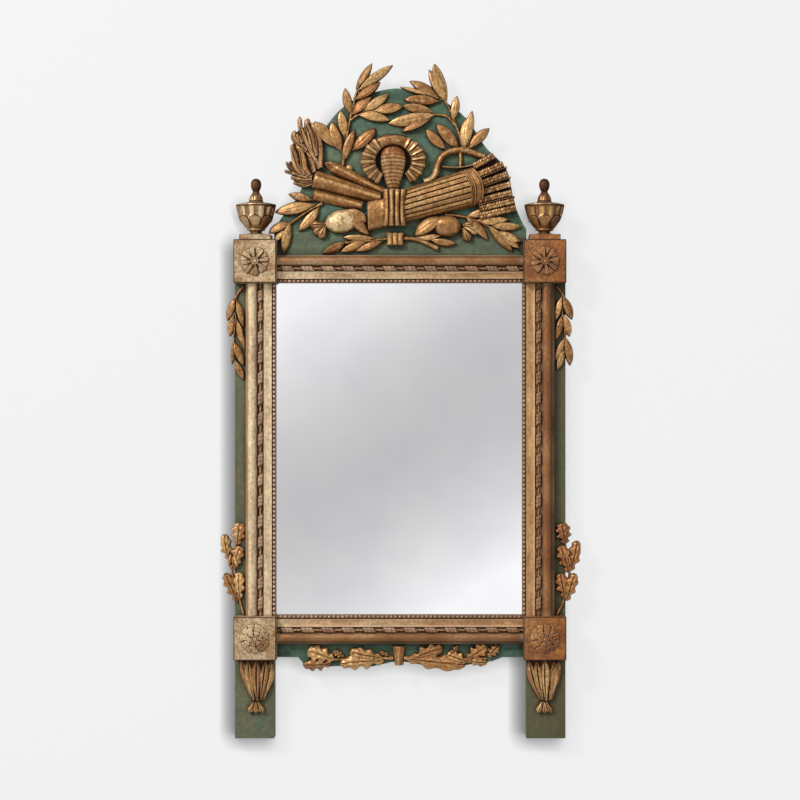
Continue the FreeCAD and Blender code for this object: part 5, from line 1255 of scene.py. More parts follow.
    def build_twist(self) -> None:
        """Lay a two-strand cord in the channel and wind the ribbon round it in slanting wraps."""
        work = Carving(self.seed)
        out = self.width - self.channel_middle * self.own
        floor = FRONT - self.channel_floor * self.relief
        count = int(self.length / self.cord_station)
        s = np.linspace(0, self.length, count)[:, None]
        across = np.array((-1, -0.85, -0.55, -0.2, 0.2, 0.55, 0.85, 1))
        strands = np.cos(2 * math.pi * (s / self.cord_lay + 0.42 * across))
        heights = self.cord_relief * np.sqrt(1 - (0.9 * across) ** 2) * (0.86 + 0.14 * strands)
        work.relief(self.whole(out, count), self.cord_width / 2, heights, 1.0, across, floor, undercut=1.0)
        s = np.linspace(0, 1, self.wrap_steps)[:, None]
        end = np.clip(np.minimum(s, 1 - s) / 0.16, 0, 1) ** 0.5
        folds = np.abs(np.sin(math.pi * (self.wrap_folds * s + 0.3 * ACROSS)))
        crown = (1 - (0.95 * ACROSS) ** 4) ** 0.5
        heights = self.wrap_relief * crown * (0.66 + 0.34 * end) * (0.9 + 0.1 * folds ** 0.6)
        wide = self.wrap_width / 2 * (0.8 + 0.2 * end)
        wraps = int(self.length // self.wrap_pitch)
        for index in range(wraps):
            centre = (index - (wraps - 1) / 2) * self.wrap_pitch
            half = self.wrap_length / 2 * work.chance.uniform(0.93, 1.03)
            path = self.line(out, centre - half, centre + half, self.wrap_steps)
            # Painted light and shade: lighter on the folds, darker toward each wrap's ends, where it sinks.
            tone = work.chance.uniform(0.05, 0.45) + 0.3 * folds - 0.25 * (1 - end)
            work.relief(path, wide, heights, tone, ground=floor, shift=self.wrap_slant / 2 * ACROSS,
                        undercut=0.95)
        work.piece("ribbon_twist_" + self.name, BOLE_GILDING, ("frame_moulding_" + self.name,))

    def build_pearls(self) -> None:
        """Set a row of half pearls with necks between them on its slip."""
        work = Carving(self.seed)
        across = np.array((-1, -1, -0.9, 0.9, 1, 1))
        up = np.array((0, 0.88, 1, 1, 0.88, 0)) * self.strip_relief
        count = int(self.length / self.slip_station)
        slip = self.whole(self.strip_width - self.slip_width / 2 - self.lap, count)
        dull = -0.1
        work.relief(slip, self.slip_width / 2, up, dull, across, undercut=1.0)
        ground = FRONT - self.strip_relief
        count = int(self.length // self.pearl_pitch)
        across = np.array((-1, -0.7, 0, 0.7, 1))
        up = self.neck_radius * np.sqrt(1 - (0.97 * across) ** 2)
        row = self.pearl_line - self.lap
        work.relief(self.whole(row, count), self.neck_radius, up, dull, across, ground)
        turns = np.radians(self.pearl_degrees)
        for index in range(count):
            step = (index - (count - 1) / 2) * self.pearl_pitch
            radius = self.pearl_radius * work.chance.uniform(0.93, 1.0)
            rows = [(math.cos(turn), radius * math.sin(turn)) for turn in turns]
            tones = self.tones[self.run][7] * work.chance.uniform(0.7, 1.0) * np.array(self.pearl_tones)
            work.boss(self.line(row, step, step, 1)[0], radius, rows, ground, tones[:, None], 14)
        work.piece("pearls_" + self.name, PEARL_GILDING, ("pearl_strip_" + self.name,), "bole_gilt_wood")


@dataclass
class CornerBlock:
    """A gessoed corner block with its carved rosette."""

    level: str
    side_name: str
    edge: float = 1.6
    line: float = 1.0
    half_height: float = 38.5
    diameter: float = 52.5
    relief: float = 5.2
    button: float = 13.6
    ground_share: float = 0.88
    # The ground's dark tone is painted shade between the petals.
    ground_tone: float = -0.7
    petal_tone: float = 0.74
    painted_light_turn: float = 2.5
    ground: Rows = ((1.0, -SEAT), (1.0, 0.5), (0.9, 0.7), (0.1, 0.7))
    # The button's rows: radius share, height share and tone; its low tones paint shade in its creases and at
    # its foot.
    knob: Rows = (
        (1.0, 0.9, -0.8), (0.95, 1.1, 0.1), (0.82, 1.16, 0.5), (0.7, 1.08, 0.0), (0.63, 0.92, -0.9),
        (0.56, 1.0, -0.4), (0.46, 1.18, 0.4), (0.28, 1.3, 0.7), (0.02, 1.34, 0.7),
    )
    painted_light_swing: dict[str, float] = field(default_factory=lambda: {"top": 0.2, "bottom": 0.5})
    rings: dict[str, Rows] = field(default_factory=lambda: {
        "top": ((8, 0.5, 0.52, 0.96, 0.5, 0.6), (8, 0.0, 0.2, 1.0, 0.5, 1.0)),
        "bottom": ((11, 0.2, 0.54, 1.0, 1.0, 0.5), (8, 0.5, 0.28, 0.8, 0.9, 0.8),
                   (6, 0.0, 0.16, 0.54, 0.94, 1.05)),
    })

    def build(self) -> None:
        """Ease the block's edges and carve its flower."""
        name = self.level + "_" + self.side_name
        eased_copy("corner_block_" + name, BLOCK_GILDING, BLOCK_GILDING, self.edge, True,
                   self.line)
        side = dict(SIDES)[self.side_name]
        upright = 1 if self.level == "top" else -1
        centre = np.array((side * BLOCK_CENTRE, upright * (SIGHT_HALF_HEIGHT + self.half_height)))
        work = Carving(11 + 3 * side + upright)
        reach = self.diameter / 2
        work.boss(centre, reach * self.ground_share, self.ground, BLOCK_FRONT, self.ground_tone, 32)
        for petals, offset, start, end, width_share, height in self.rings[self.level]:
            pitch = 2 * math.pi / petals
            for index in range(petals):
                turn = pitch * (index + offset + 0.2) + work.chance.uniform(-0.06, 0.06)
                way = np.array((math.cos(turn), math.sin(turn)))
                tip = centre + way * reach * end * work.chance.uniform(0.95, 1.0)
                # Painted light: petals are lighter toward the upper left, more so on the bottom blocks.
                tone = self.petal_tone + self.painted_light_swing[self.level] * math.cos(turn - self.painted_light_turn)
                tone = tone + work.chance.uniform(-0.3, 0.3)
                work.leaf(centre + way * reach * start, tip, reach * end * pitch * width_share,
                          self.relief * height, PETAL, BLOCK_FRONT, tone)
        rows = [(1.0, -SEAT)] + [(out, up * self.relief) for out, up, _ in self.knob]
        tones = np.array([SHADE_AND_GRIME_TONE] + [tone for _, _, tone in self.knob])[:, None]
        work.boss(centre, self.button / 2, rows, BLOCK_FRONT, tones, 28)
        work.piece("flower_" + name, PETAL_GILDING, ("rosette_" + name,))


@dataclass
class Urn:
    """A turned and fluted urn with its lid and knop, on a square plinth."""

    side_name: str
    setback_line: float = -38.0
    plinth_height: float = 9.0
    rim_height: float = 58.0
    depth_share: float = 0.92
    edge: float = 1.4
    petals: int = 8
    flutes: int = 12
    flute_depth: float = 0.11
    petal_depth: float = 0.08
    petal_drop: float = 8.0
    lobe_depth: float = 0.08
    steps: int = 144
    bowl: Rows = (
        (0.5, 0.0), (16.5, 0.0), (16.7, 1.2), (15.4, 2.0), (11.8, 3.0), (10.2, 4.2), (9.9, 5.4),
        (10.6, 6.4), (12.8, 7.4), (15.8, 8.2), (16.5, 9.4), (16.0, 10.6), (17.2, 11.8), (19.8, 14.4),
        (22.6, 18.0), (25.3, 22.2), (28.0, 26.6), (30.0, 30.6), (30.9, 32.6), (30.6, 33.8), (31.4, 35.4),
        (32.4, 38.4), (33.6, 42.6), (34.6, 47.0), (35.2, 50.0), (35.5, 51.4), (35.6, 52.4), (35.6, 53.4),
        (35.2, 54.2), (33.4, 54.8), (25.0, 56.6), (13.5, 58.2), (0.5, 58.4),
    )
    lid: Rows = (
        (0.5, 0.0), (12.9, 0.0), (13.2, 1.6), (12.4, 2.4), (12.5, 4.0), (12.2, 6.6), (11.3, 9.6),
        (9.8, 12.4), (8.2, 14.6), (6.9, 16.2), (6.6, 17.0), (6.6, 18.0), (5.4, 18.6), (5.6, 19.2),
        (6.8, 21.6), (8.2, 24.8), (9.2, 28.2), (9.5, 31.4), (9.2, 34.4), (8.3, 37.2), (6.8, 39.6),
        (4.8, 41.3), (2.6, 42.2), (0.3, 42.5),
    )
    # Tone by height on the lid: dark lines of painted shade in its creases, darkest at the top of the knop.
    lid_tones: Rows = (
        (0, -0.3), (1.8, 0.0), (2.4, -0.8), (3.6, 0.5), (10, 0.3), (15.6, -0.2), (16.6, -0.8), (18, 0.1),
        (19.4, -0.9), (22, -0.6), (30, -0.35), (36, -0.6), (43, -1.0),
    )

    def build(self) -> None:
        """Ease the plinth, then turn the urn and its lid."""
        name = self.side_name
        eased_copy("urn_plinth_" + name, BLOCK_GILDING, BLOCK_GILDING, self.edge, line=0.9)
        self.axis = (dict(SIDES)[name] * BLOCK_CENTRE, self.setback_line)
        self.foot = BLOCK_EDGE + self.plinth_height
        self.turns = np.linspace(0, 2 * math.pi, self.steps, endpoint=False)
        self.build_bowl()
        self.build_lid()

    def build_bowl(self) -> None:
        """Turn the bowl and carve a calyx of petals on it, with upright flutes above them."""
        work = Carving(21)
        turns = self.turns
        rise = np.asarray(self.bowl)[:, 1:]
        petal = (self.petals * turns / (2 * math.pi) + 0.5) % 1
        petal = 4 * petal * (1 - petal)
        round_flute = (self.flutes * turns / (2 * math.pi)) % 1
        flute = 4 * round_flute * (1 - round_flute)
        calyx = np.interp(rise, (12, 15, 31, 34), (0, 1, 1, 0.2))
        above = np.interp(rise, (33.5, 36, 49, 51), (0, 1, 1, 0))
        swell = 1 - self.petal_depth * calyx * (1 - petal ** 0.5) - self.flute_depth * above * flute
        arch = -self.petal_drop * np.interp(rise, (18, 30, 34.5, 40), (0, 1, 1, 0)) * (1 - petal ** 0.8)
        # Painted light and shade: the gaps between petals and flutes and the rim lines darker, a painted
        # highlight on each flute, the right side and a little of the far left darker, and darker at the waist
        # and on the top.
        gaps = calyx * np.clip(1.6 * (0.35 - petal) / 0.35, 0, 1) + bell(rise, 33.8, 0.8)
        gaps = gaps + 0.8 * above * np.clip((0.22 - flute) / 0.22, 0, 1)
        gaps = gaps + 1.1 * bell(rise, 51.4, 0.8)
        lit = above * bell(round_flute, 0.62, 0.17)
        right, left = 1.9 * np.cos(turns) - 0.6, -1.9 * np.cos(turns) - 1.0
        shade = 0.8 * np.clip(right, 0, 1) + 0.25 * np.clip(left, 0, 1)
        tone = 0.42 - 1.5 * gaps + 1.5 * lit - shade - 0.2 * (rise < 6) * (rise > 3) - 0.7 * (rise > 54.5)
        rows = [(r, self.foot + z) for r, z in self.bowl]
        work.turned(self.axis, rows, swell, tone, arch, self.depth_share)
        work.piece("turned_urn_" + self.side_name, URN_GILDING, ("urn_" + self.side_name,), sharp=50)

    def build_lid(self) -> None:
        """Turn the lid with its eight soft lobes and its knop."""
        work = Carving(22)
        rise = np.asarray(self.lid)[:, 1:]
        lobe = np.interp(rise, (2.4, 5, 11, 15), (0, 1, 1, 0)) * (1 - np.abs(np.cos(4 * self.turns)) ** 0.6)
        # Painted shade: darker in the creases given by height, in the hollows between lobes and toward the
        # right side.
        tone = np.interp(rise, *zip(*self.lid_tones))
        tone = tone - 0.7 * lobe - 0.4 * np.clip(1.8 * np.cos(self.turns) - 0.5, 0, 1)
        rows = [(r, self.foot + self.rim_height + z) for r, z in self.lid]
        work.turned(self.axis, rows, 1 - self.lobe_depth * lobe, tone)
        work.piece("turned_lid_" + self.side_name, URN_GILDING, ("urn_lid_" + self.side_name,), sharp=50)


def stave(work: Carving, start: Pair, end: Pair, widths: Pair, relief: float, tone: float, flutes: int = 0,
          point: float = 0.0) -> None:
    """Carve a long rounded stave, streaked pale and dark along it, with a painted highlight and painted shade
    in its grooves.

    Args:
        work: The carving that it belongs to.
        start: The x and z of its start.
        end: The x and z of its end.
        widths: Its width at the start and the end.
        relief: How far it stands out.
        tone: The tone of its finish.
        flutes: How many grooves run along it.
        point: How far its start is drawn to a hollow point, as a share of its length.
    """
    count = 48
    s = np.linspace(0, 1, count)[:, None]
    path = smooth_path((start, end), count)
    half = (widths[0] + (widths[1] - widths[0]) * s) / 2
    crown = np.minimum(1.0, 1.12 - 0.62 * np.abs(ACROSS + 0.1)) * (1 - 0.35 * ACROSS ** 6)
    ends = np.clip(np.minimum(s, 1 - s) / 0.03, 0, 1) ** 0.5
    heights = relief * crown * (1 + 0.02 * np.sin(9 * s + ACROSS)) * (0.8 + 0.2 * ends)
    # A painted highlight runs along the crown; the flutes and the hollow point are darkened as painted shade.
    streaks_and_shading = 0.5 * bell(ACROSS, -0.1, 0.16) + 0.22 * np.sin(11 * ACROSS - 3 * s + start[0])
    streaks_and_shading = streaks_and_shading - 0.2 * np.sin(6 * s + start[1]) ** 2
    for line in np.linspace(-0.5, 0.5, flutes) if flutes else ():
        notch = bell(ACROSS, line, 0.07)
        heights, streaks_and_shading = heights * (1 - 0.06 * notch), streaks_and_shading - 0.5 * notch
    if point:
        near = np.clip(1 - s / point, 0, 1)
        half = half * (1 - 0.8 * near ** 1.4)
        hollow = np.clip(2.2 * near, 0, 1) * (1 - ACROSS ** 2)
        heights = heights * (1 - 0.55 * hollow)
        streaks_and_shading = streaks_and_shading - 0.8 * hollow
    work.relief(path, half, heights, tone + streaks_and_shading, skirt=1.0)


def strands(work: Carving, places: Triple, width: float, relief: float, count: int) -> None:
    """Carve a tie of upright strands side by side, narrower at its middle.

    Args:
        work: The carving that it belongs to.
        places: Its middle line, its foot and its head, as shares of the crest.
        width: Its width.
        relief: How far it stands out.
        count: How many strands it has.
    """
    across = np.linspace(-1, 1, 12 * count + 1)
    s = np.linspace(0, 1, 26)[:, None]
    foot, head = crest_place(places[0], places[1]), crest_place(places[0], places[2])
    rounds = np.abs(np.sin(math.pi * count * (across + 1) / 2)) ** 0.6
    crown = 0.74 + 0.26 * np.sqrt(np.maximum(1 - across ** 2, 0))
    ends = 0.86 + 0.14 * np.clip(np.minimum(s, 1 - s) / 0.1, 0, 1)
    lean = 0.02 * np.sin(5 * s + 4 * across)
    heights = relief * crown * (0.84 + 0.16 * rounds) * ends * (1 + lean)
    half = width / 2 * (1.0 + 0.1 * (2 * s - 1) ** 2)
    # Painted highlight on each strand's crown and painted shade between the strands.
    tone = 1.3 * rounds - 0.75 + 0.45 * np.sin(4 * s + 5 * across) ** 2
    work.relief(smooth_path((foot, head), len(s)), half, heights, tone, across, undercut=1.0)


@dataclass
class Ribbon:
    """The pleated ribbon bow, its tie round the trophy and the small tie of the stems."""

    relief: float = 20.0
    pleats: int = 7
    loops: tuple[Pair, ...] = ((240.0, 118.0), (62.0, -56.0))
    cap: Pair = (122.0, 58.0)
    fold_at: tuple[float, ...] = (0.0, 0.2, 0.46, 0.5, 0.6, 0.76, 0.92, 0.96)
    fold_height: tuple[float, ...] = (0.86, 0.96, 1.0, 0.86, 0.8, 0.84, 0.9, 0.78)
    fold_light_and_shade: tuple[float, ...] = (0.55, 0.85, 1.0, 0.0, 0.1, 0.35, 0.4, -0.35)
    fold_reach: tuple[float, ...] = (0.97, 1.0, 1.0, 0.95, 0.93, 0.94, 0.96, 0.95)
    tongue_width: float = 43.0
    tongue_ribs: int = 10
    tie_width: float = 38.0
    tie_relief: float = 34.0
    tie_strands: int = 4
    stem_tie_width: float = 29.0
    stem_tie_relief: float = 15.0

    def ring_place(self, turn: float, share: float) -> Pair:
        """Give a place on the ring of loops.

        Args:
            turn: The angle round it.
            share: 0 at its inner edge, 1 at its outer edge.

        Returns:
            Its x and z.
        """
        centre = crest_place(*RIBBON_CENTRE)
        reach, rise = (
            (inner + (outer - inner) * share) * size for inner, outer, size in
            zip(RIBBON_INNER, RIBBON_OUTER, (CREST_WIDTH, CREST_HEIGHT))
        )
        return centre[0] + reach * math.cos(turn), centre[1] + rise * math.sin(turn)

    def strip(self, work: Carving, turns: Array, reach: Array, heights: Array,
              tones: Array) -> None:
        """Lay a strip along the ring.

        Args:
            work: The carving that it belongs to.
            turns: The angle of each station.
            reach: How far out it goes at each station, as a share of the ring.
            heights: Its height at each station.
            tones: Its tone at each station.
        """
        inner, outer = (np.array([self.ring_place(turn, share) for turn in turns]) for share in (0.0, 1.0))
        half = (np.linalg.norm(outer - inner, axis=1) / 2)[:, None]
        half = half * np.where(ACROSS < 0, 2 * reach[:, None] - 1, 1.0)
        crown = (1 - (0.85 * ACROSS) ** 4) ** 0.5
        work.relief((inner + outer) / 2, half, heights[:, None] * crown, tones[:, None])

    def build(self) -> None:
        """Carve the bow and the two ties."""
        self.build_bow()
        work = Carving(52)
        strands(work, RIBBON_TIE, self.tie_width, self.tie_relief, self.tie_strands)
        work.piece("wound_tie", CREST_GILDING, ("ribbon_tie",))
        work = Carving(53)
        strands(work, STEM_TIE, self.stem_tie_width, self.stem_tie_relief, self.tie_strands - 1)
        work.piece("wound_stem_tie", CREST_GILDING, ("stem_tie",))

    def build_bow(self) -> None:
        """Carve a dark ground of painted shadow, the two side loops, the cap over them and the pleated
        tongue.
        """
        work = Carving(51)
        turns = np.radians(np.linspace(self.loops[0][0], self.loops[1][1], 60))
        # A dark bed of painted shadow inside the ring of loops.
        bed = np.array([self.ring_place(turn, 0.3) for turn in turns])
        work.relief(bed, 15.0, 2.0, SHADE_AND_GRIME_TONE)
        for start, end in self.loops:
            at = (np.arange(self.pleats)[:, None] + np.array(self.fold_at)).ravel() / self.pleats
            turns = np.radians(start + (end - start) * at)
            lift = np.repeat([work.chance.uniform(0.88, 1.0) for _ in range(self.pleats)], len(self.fold_at))
            heights = self.relief * np.tile(self.fold_height, self.pleats) * lift
            reach = np.tile(self.fold_reach, self.pleats) * (0.8 + 0.2 * lift)
            # The pleats' tones paint light and shade across their folds, and the higher pleats lighter.
            tones = np.tile(self.fold_light_and_shade, self.pleats) * (2.2 * lift - 1.2)
            self.strip(work, turns, reach, heights, tones)
        s = np.linspace(-1, 1, 24)
        heights = self.relief * (0.98 - 0.12 * s ** 2)
        turns = np.radians(np.linspace(*self.cap, len(s)))
        self.strip(work, turns, np.full(len(s), 0.93), heights, 0.05 + 0.1 * np.sin(6 * s))
        self.build_tongue(work)
        work.piece("pleated_bow", CREST_GILDING, ("ribbon_bow",))

    def build_tongue(self, work: Carving) -> None:
        """Carve the tongue: fine level ribs under a smooth rounded head.

        Args:
            work: The carving that it belongs to.
        """
        line, low, high = RIBBON_TONGUE
        ribs, head, head_steps = self.tongue_ribs, 0.8, 14
        at = (np.arange(ribs)[:, None] + np.array((0.0, 0.3, 0.62, 0.68, 0.94))).ravel() / ribs
        s = np.concatenate((at * head, np.linspace(head + 0.01, 1, head_steps)))
        rows = np.asarray(TONGUE)
        shares = through(rows[:, 0], rows[:, 1:], s)
        shares[:, 1] = np.interp(s, (0, 0.3, head, 0.93, 1), (0.72, 0.88, 1.0, 0.96, 0.6))
        folds = np.concatenate((np.tile((0.95, 1.0, 1.0, 0.93, 0.93), ribs), np.full(head_steps, 0.97)))
        # Painted highlight on the ribs' crests and painted shade in their grooves; the head darkens toward
        # its top.
        shine = [0.9 if rib % 3 == 2 else work.chance.uniform(0.2, 0.7) for rib in range(ribs)]
        tones = np.outer(shine, (0.5, 0.9, 1.0, 0.1, 0.3)).ravel()
        tones = np.concatenate((tones, np.linspace(0.05, -0.25, head_steps)))
        crown = 0.42 + 0.58 * np.sqrt(1 - (0.95 * ACROSS) ** 2)
        crown = crown - 0.05 * bell(ACROSS, -0.15, 0.08)
        heights = self.relief * (shares[:, 1] * folds)[:, None] * crown
        half = self.tongue_width / 2 * shares[:, :1] * (0.9 + 0.1 * folds[:, None])
        path = smooth_path((crest_place(line, low), crest_place(line, high)), 200)
        path = np.stack([np.interp(s, np.linspace(0, 1, 200), path[:, axis]) for axis in (0, 1)], -1)
        work.relief(path, half, heights, tones[:, None], shift=-2.0 * ACROSS ** 2)


@dataclass
class Trophy:
    """The torch and its flames, the quiver with its arrows, and the bow."""

    staves: tuple = (
        ((-0.302, 0.462), (-0.06, 0.312), (25.0, 17.0), 15.5, 0.45, 0, 0.2),
        ((-0.352, 0.306), (-0.15, 0.246), (23.0, 20.0), 14.0, 0.4, 0, 0.05),
        ((-0.344, 0.382), (-0.0736, 0.283), (34.0, 23.0), 20.0, 0.52, 2, 0.0),
    )
    flame_relief: float = 15.0
    flame_bed: tuple[Pair, ...] = ((-0.343, 0.391), (-0.377, 0.467), (-0.398, 0.542), (-0.398, 0.624))
    tongues: tuple = (
        (((-0.343, 0.506), (-0.362, 0.561), (-0.377, 0.609), (-0.384, 0.642)), 8.0, 0.0, 0.7),
        (((-0.323, 0.439), (-0.323, 0.512), (-0.333, 0.585), (-0.346, 0.633), (-0.357, 0.664)),
         13.0, 0.35, 0.85),
        (((-0.335, 0.494), (-0.352, 0.561), (-0.364, 0.618), (-0.372, 0.655), (-0.368, 0.685)),
         12.0, 0.6, 1.0),
        (((-0.374, 0.518), (-0.394, 0.542), (-0.415, 0.567), (-0.426, 0.597), (-0.42, 0.624)),
         10.0, 0.45, 0.85),
        (((-0.391, 0.561), (-0.403, 0.585), (-0.413, 0.606)), 9.0, 0.9, 0.95),
        (((-0.381, 0.406), (-0.406, 0.436), (-0.42, 0.482), (-0.427, 0.518), (-0.432, 0.555)),
         12.0, 0.7, 0.85),
        (((-0.364, 0.397), (-0.381, 0.433), (-0.389, 0.482), (-0.398, 0.524), (-0.415, 0.549)),
         11.0, 0.6, 0.92),
        (((-0.343, 0.415), (-0.352, 0.458), (-0.364, 0.494), (-0.377, 0.515)), 7.5, 0.9, 0.95),
        (((-0.321, 0.433), (-0.343, 0.482), (-0.369, 0.542), (-0.386, 0.597), (-0.398, 0.639),
          (-0.402, 0.694)),
         10.0, 1.0, 1.0),
        (((-0.398, 0.412), (-0.42, 0.433), (-0.435, 0.452), (-0.442, 0.471)), 6.0, -0.15, 0.75),
        (((-0.415, 0.415), (-0.437, 0.433), (-0.449, 0.452), (-0.456, 0.468)), 6.0, -0.25, 0.6),
        (((-0.391, 0.394), (-0.425, 0.409), (-0.447, 0.418), (-0.463, 0.423)), 7.0, 0.1, 0.7),
        (((-0.352, 0.388), (-0.386, 0.4), (-0.413, 0.406), (-0.435, 0.412)), 9.5, 0.6, 0.9),
        (((-0.352, 0.373), (-0.381, 0.37), (-0.411, 0.379), (-0.437, 0.394)), 9.0, 0.4, 0.85),
        (((-0.352, 0.358), (-0.377, 0.352), (-0.403, 0.355), (-0.427, 0.367)), 8.0, 0.1, 0.75),
    )
    quiver_relief: float = 26.0
    butt_width: float = 51.0
    mouth_width: float = 67.0
    butt_skew: float = 6.8
    band_width: float = 70.0
    band_length: float = 21.0
    band_bulge: float = 11.0
    flutes: int = 10
    arrow_relief: float = 16.0
    vane_width: float = 12.8
    shaft_width: float = 3.8
    shafts: tuple[int, ...] = (1, 2, 4)
    barbs: int = 10
    limb: tuple[Pair, ...] = (
        (0.1411, 0.407), (0.1491, 0.447), (0.1678, 0.494), (0.2027, 0.519), (0.2455, 0.526),
        (0.2937, 0.511), (0.3366, 0.4905),
    )
    horn: tuple[Pair, ...] = ((0.0955, 0.368), (0.1223, 0.3787), (0.1411, 0.4069), (0.145, 0.428))
    post: tuple[Pair, ...] = ((0.2402, 0.514), (0.241, 0.478), (0.2402, 0.44))
    string: tuple[Pair, ...] = (
        (0.169, 0.442), (0.21, 0.438), (0.2509, 0.44), (0.29, 0.45), (0.33, 0.464),
    )

    def build(self) -> None:
        """Carve each weapon and the torch."""
        self.build_torch()
        self.build_quiver()
        self.build_arrows()
        self.build_bow()

    def build_torch(self) -> None:
        """Carve the three staves, and the flames that spring from them as locks on a dark ground of painted
        shade.
        """
        work = Carving(31)
        for start, end, *sizes in self.staves:
            stave(work, crest_place(*start), crest_place(*end), *sizes)
        work.piece("torch_staves", CREST_GILDING, ("torch",))
        work = Carving(32)
        # A dark bed of painted shade behind the flames.
        bed = smooth_path([crest_place(*pair) for pair in self.flame_bed], 24)
        half = np.interp(np.linspace(0, 1, 24), (0, 0.3, 0.7, 1), (14, 20, 14, 5))
        work.relief(bed, half, 3.0, -0.85)
        for places, width, tone, lift in self.tongues:
            self.tongue(work, [crest_place(*pair) for pair in places], width, tone, self.flame_relief * lift)
        work.piece("flame_tongues", FLAME_GILDING, ("torch_flames",))

    def tongue(self, work: Carving, places: Sequence[Pair], width: float, tone: float, relief: float) -> None:
        """Carve a winding tongue of flame with a groove along it and a blunt knob at its tip.

        Args:
            work: The carving that it belongs to.
            places: The x and z of points along it.
            width: Its full width.
            tone: The tone of its finish.
            relief: How far it stands out.
        """
        s = np.linspace(0, 1, 34)[:, None]
        half = np.interp(s, (0, 0.25, 0.6, 0.84, 0.93, 0.98, 1), (0.9, 1.0, 0.9, 0.7, 0.68, 0.5, 0.16))
        half = half * 0.64 * width * (1 + 0.1 * np.sin(9 * s + places[0][0] + 2 * np.sign(ACROSS)))
        body = 0.5 + 0.5 * (1 - np.abs(ACROSS) ** 2.2) ** 0.5
        line = 0.25 * np.sin(5 * s + places[0][1])
        groove = bell(ACROSS - line, -0.25, 0.16)
        groove = groove + 0.3 * bell(ACROSS - line, 0.4, 0.13)
        groove = groove * np.interp(s, (0, 0.1, 0.75, 0.88), (0.5, 1, 1, 0))
        lean = 0.25 * math.sin(3 * width + places[0][0]) * ACROSS
        heights = relief * (body - 0.22 * groove + lean) * np.interp(s, (0, 0.6, 0.9, 1), (1, 0.9, 0.8, 0.5))
        # Painted shade darkens the grooves.
        tones = tone + 0.4 - 0.75 * groove + 0.25 * np.sin(8 * s + 3 * ACROSS)
        work.relief(smooth_path(places, len(s)), half, np.maximum(heights, 1.5), tones, skirt=0.8)

    def build_quiver(self) -> None:
        """Carve the quiver, smooth at its butt and fluted to its mouth, with its band."""
        work = Carving(33)
        butt, mouth = crest_place(*QUIVER_BUTT), crest_place(*QUIVER_MOUTH)
        q = np.linspace(0, 1, 12 * self.flutes + 1)
        across, arch = -np.cos(math.pi * q), np.sin(math.pi * q)
        phase = (self.flutes * q) % 1
        groove = bell(np.minimum(phase, 1 - phase), 0, 0.09)
        count = 48
        s = np.linspace(0, 1, count)[:, None]
        fluted = np.clip((s - 0.16) / 0.05, 0, 1)
        half = (self.butt_width + (self.mouth_width - self.butt_width) * s ** 0.7) / 2
        arched = arch ** (0.55 + 0.35 * fluted)
        heights = self.quiver_relief * arched * (1 - 0.13 * fluted * groove) * (0.8 + 0.2 * fluted)
        heights = heights * (1 + 0.01 * np.sin(7 * s + 5 * q))
        skew = -self.butt_skew * across * np.clip(1 - s / 0.3, 0, 1)
        bulge = self.band_bulge * (1 - across ** 2) * np.clip((s - 0.6) / 0.4, 0, 1)
        # Painted highlight along the flutes' crowns and painted shade in their grooves.
        ridges = 0.45 * np.sin(math.pi * self.flutes * q + 1.1 * s) ** 2 + 0.3 * np.sin(23 * q + 3 * s)
        tone = 0.3 + fluted * (0.1 + ridges - 0.8 * groove)
        work.relief(smooth_path((butt, mouth), count), half, heights, tone, across, shift=skew + bulge)
        run = np.subtract(mouth, butt) / math.dist(butt, mouth)
        start, end = mouth - 3 * run, np.asarray(mouth) + run * (self.band_length - 1)
        s = np.linspace(0, 1, 45)[:, None]
        beads = sum(bell(s, at, 0.045) for at in (0.07, 0.36, 0.93))
        seams = sum(bell(s, at, 0.03) for at in (0.0, 0.16, 0.27, 0.45, 0.84))
        heights = self.quiver_relief * 1.02 * arch * (1 + 0.07 * beads - 0.03 * seams)
        # Painted highlight on the beads and painted shade in the seams.
        tone = 0.35 + 0.55 * beads - 0.9 * seams + 0.15 * np.sin(7 * q)
        bulge = self.band_bulge * (1 - across ** 2)
        path = smooth_path((start, end), len(s))
        work.relief(path, self.band_width / 2, heights, tone, across, shift=bulge)
        work.piece("fluted_quiver", CREST_GILDING, ("quiver",), sharp=50)

    def build_arrows(self) -> None:
        """Carve the arrows' square-cut feathers in rows, with thin shafts between them over deep gaps of
        painted shade.
        """
        work = Carving(34)
        rows = [[np.asarray(crest_place(*row[at:at + 2])) for at in (0, 2)] for row in ARROW]
        low, high = rows[-1], rows[0]
        # A dark bed of painted shade lies in the gaps between the feathers.
        bed = smooth_path(((low[0] + high[0]) / 2 + (2, 0), (low[1] + high[1]) / 2 - (2, 1)), 12)
        half = np.interp(np.linspace(0, 1, 12), (0, 0.8, 1), (38, 46, 44))
        work.relief(bed, half, 4.0, SHADE_AND_GRIME_TONE)
        s = np.linspace(0, 1, 90)[:, None]
        for index, (base, tip) in enumerate(rows):
            run = tip - base
            phase = self.barbs * (s + 0.035 * np.sin(13 * s + index)) + 0.4 * ACROSS + 0.5 * (ACROSS > 0)
            phase = phase + index / 3
            cell = np.floor(phase)
            seam = bell(np.minimum(phase - cell, cell + 1 - phase), 0, 0.13)
            spine = bell(ACROSS, 0, 0.12)
            ends = np.clip(np.minimum(s, 1 - s) / 0.03, 0, 1)
            body = 0.8 + 0.2 * (1 - np.abs(ACROSS) ** 3) ** 0.5 - 0.07 * seam - 0.06 * spine
            lean = 0.1 * work.chance.uniform(-1, 1) * ACROSS
            heights = self.arrow_relief * (body + lean) * (0.6 + 0.4 * ends)
            half = self.vane_width / 2 * (1 + 0.04 * np.sin(17 * s + index))
            tone = work.chance.uniform(0.3, 0.5) + 0.55 * np.sin(2.7 * cell + 1.9 * index + 2 * (ACROSS > 0))
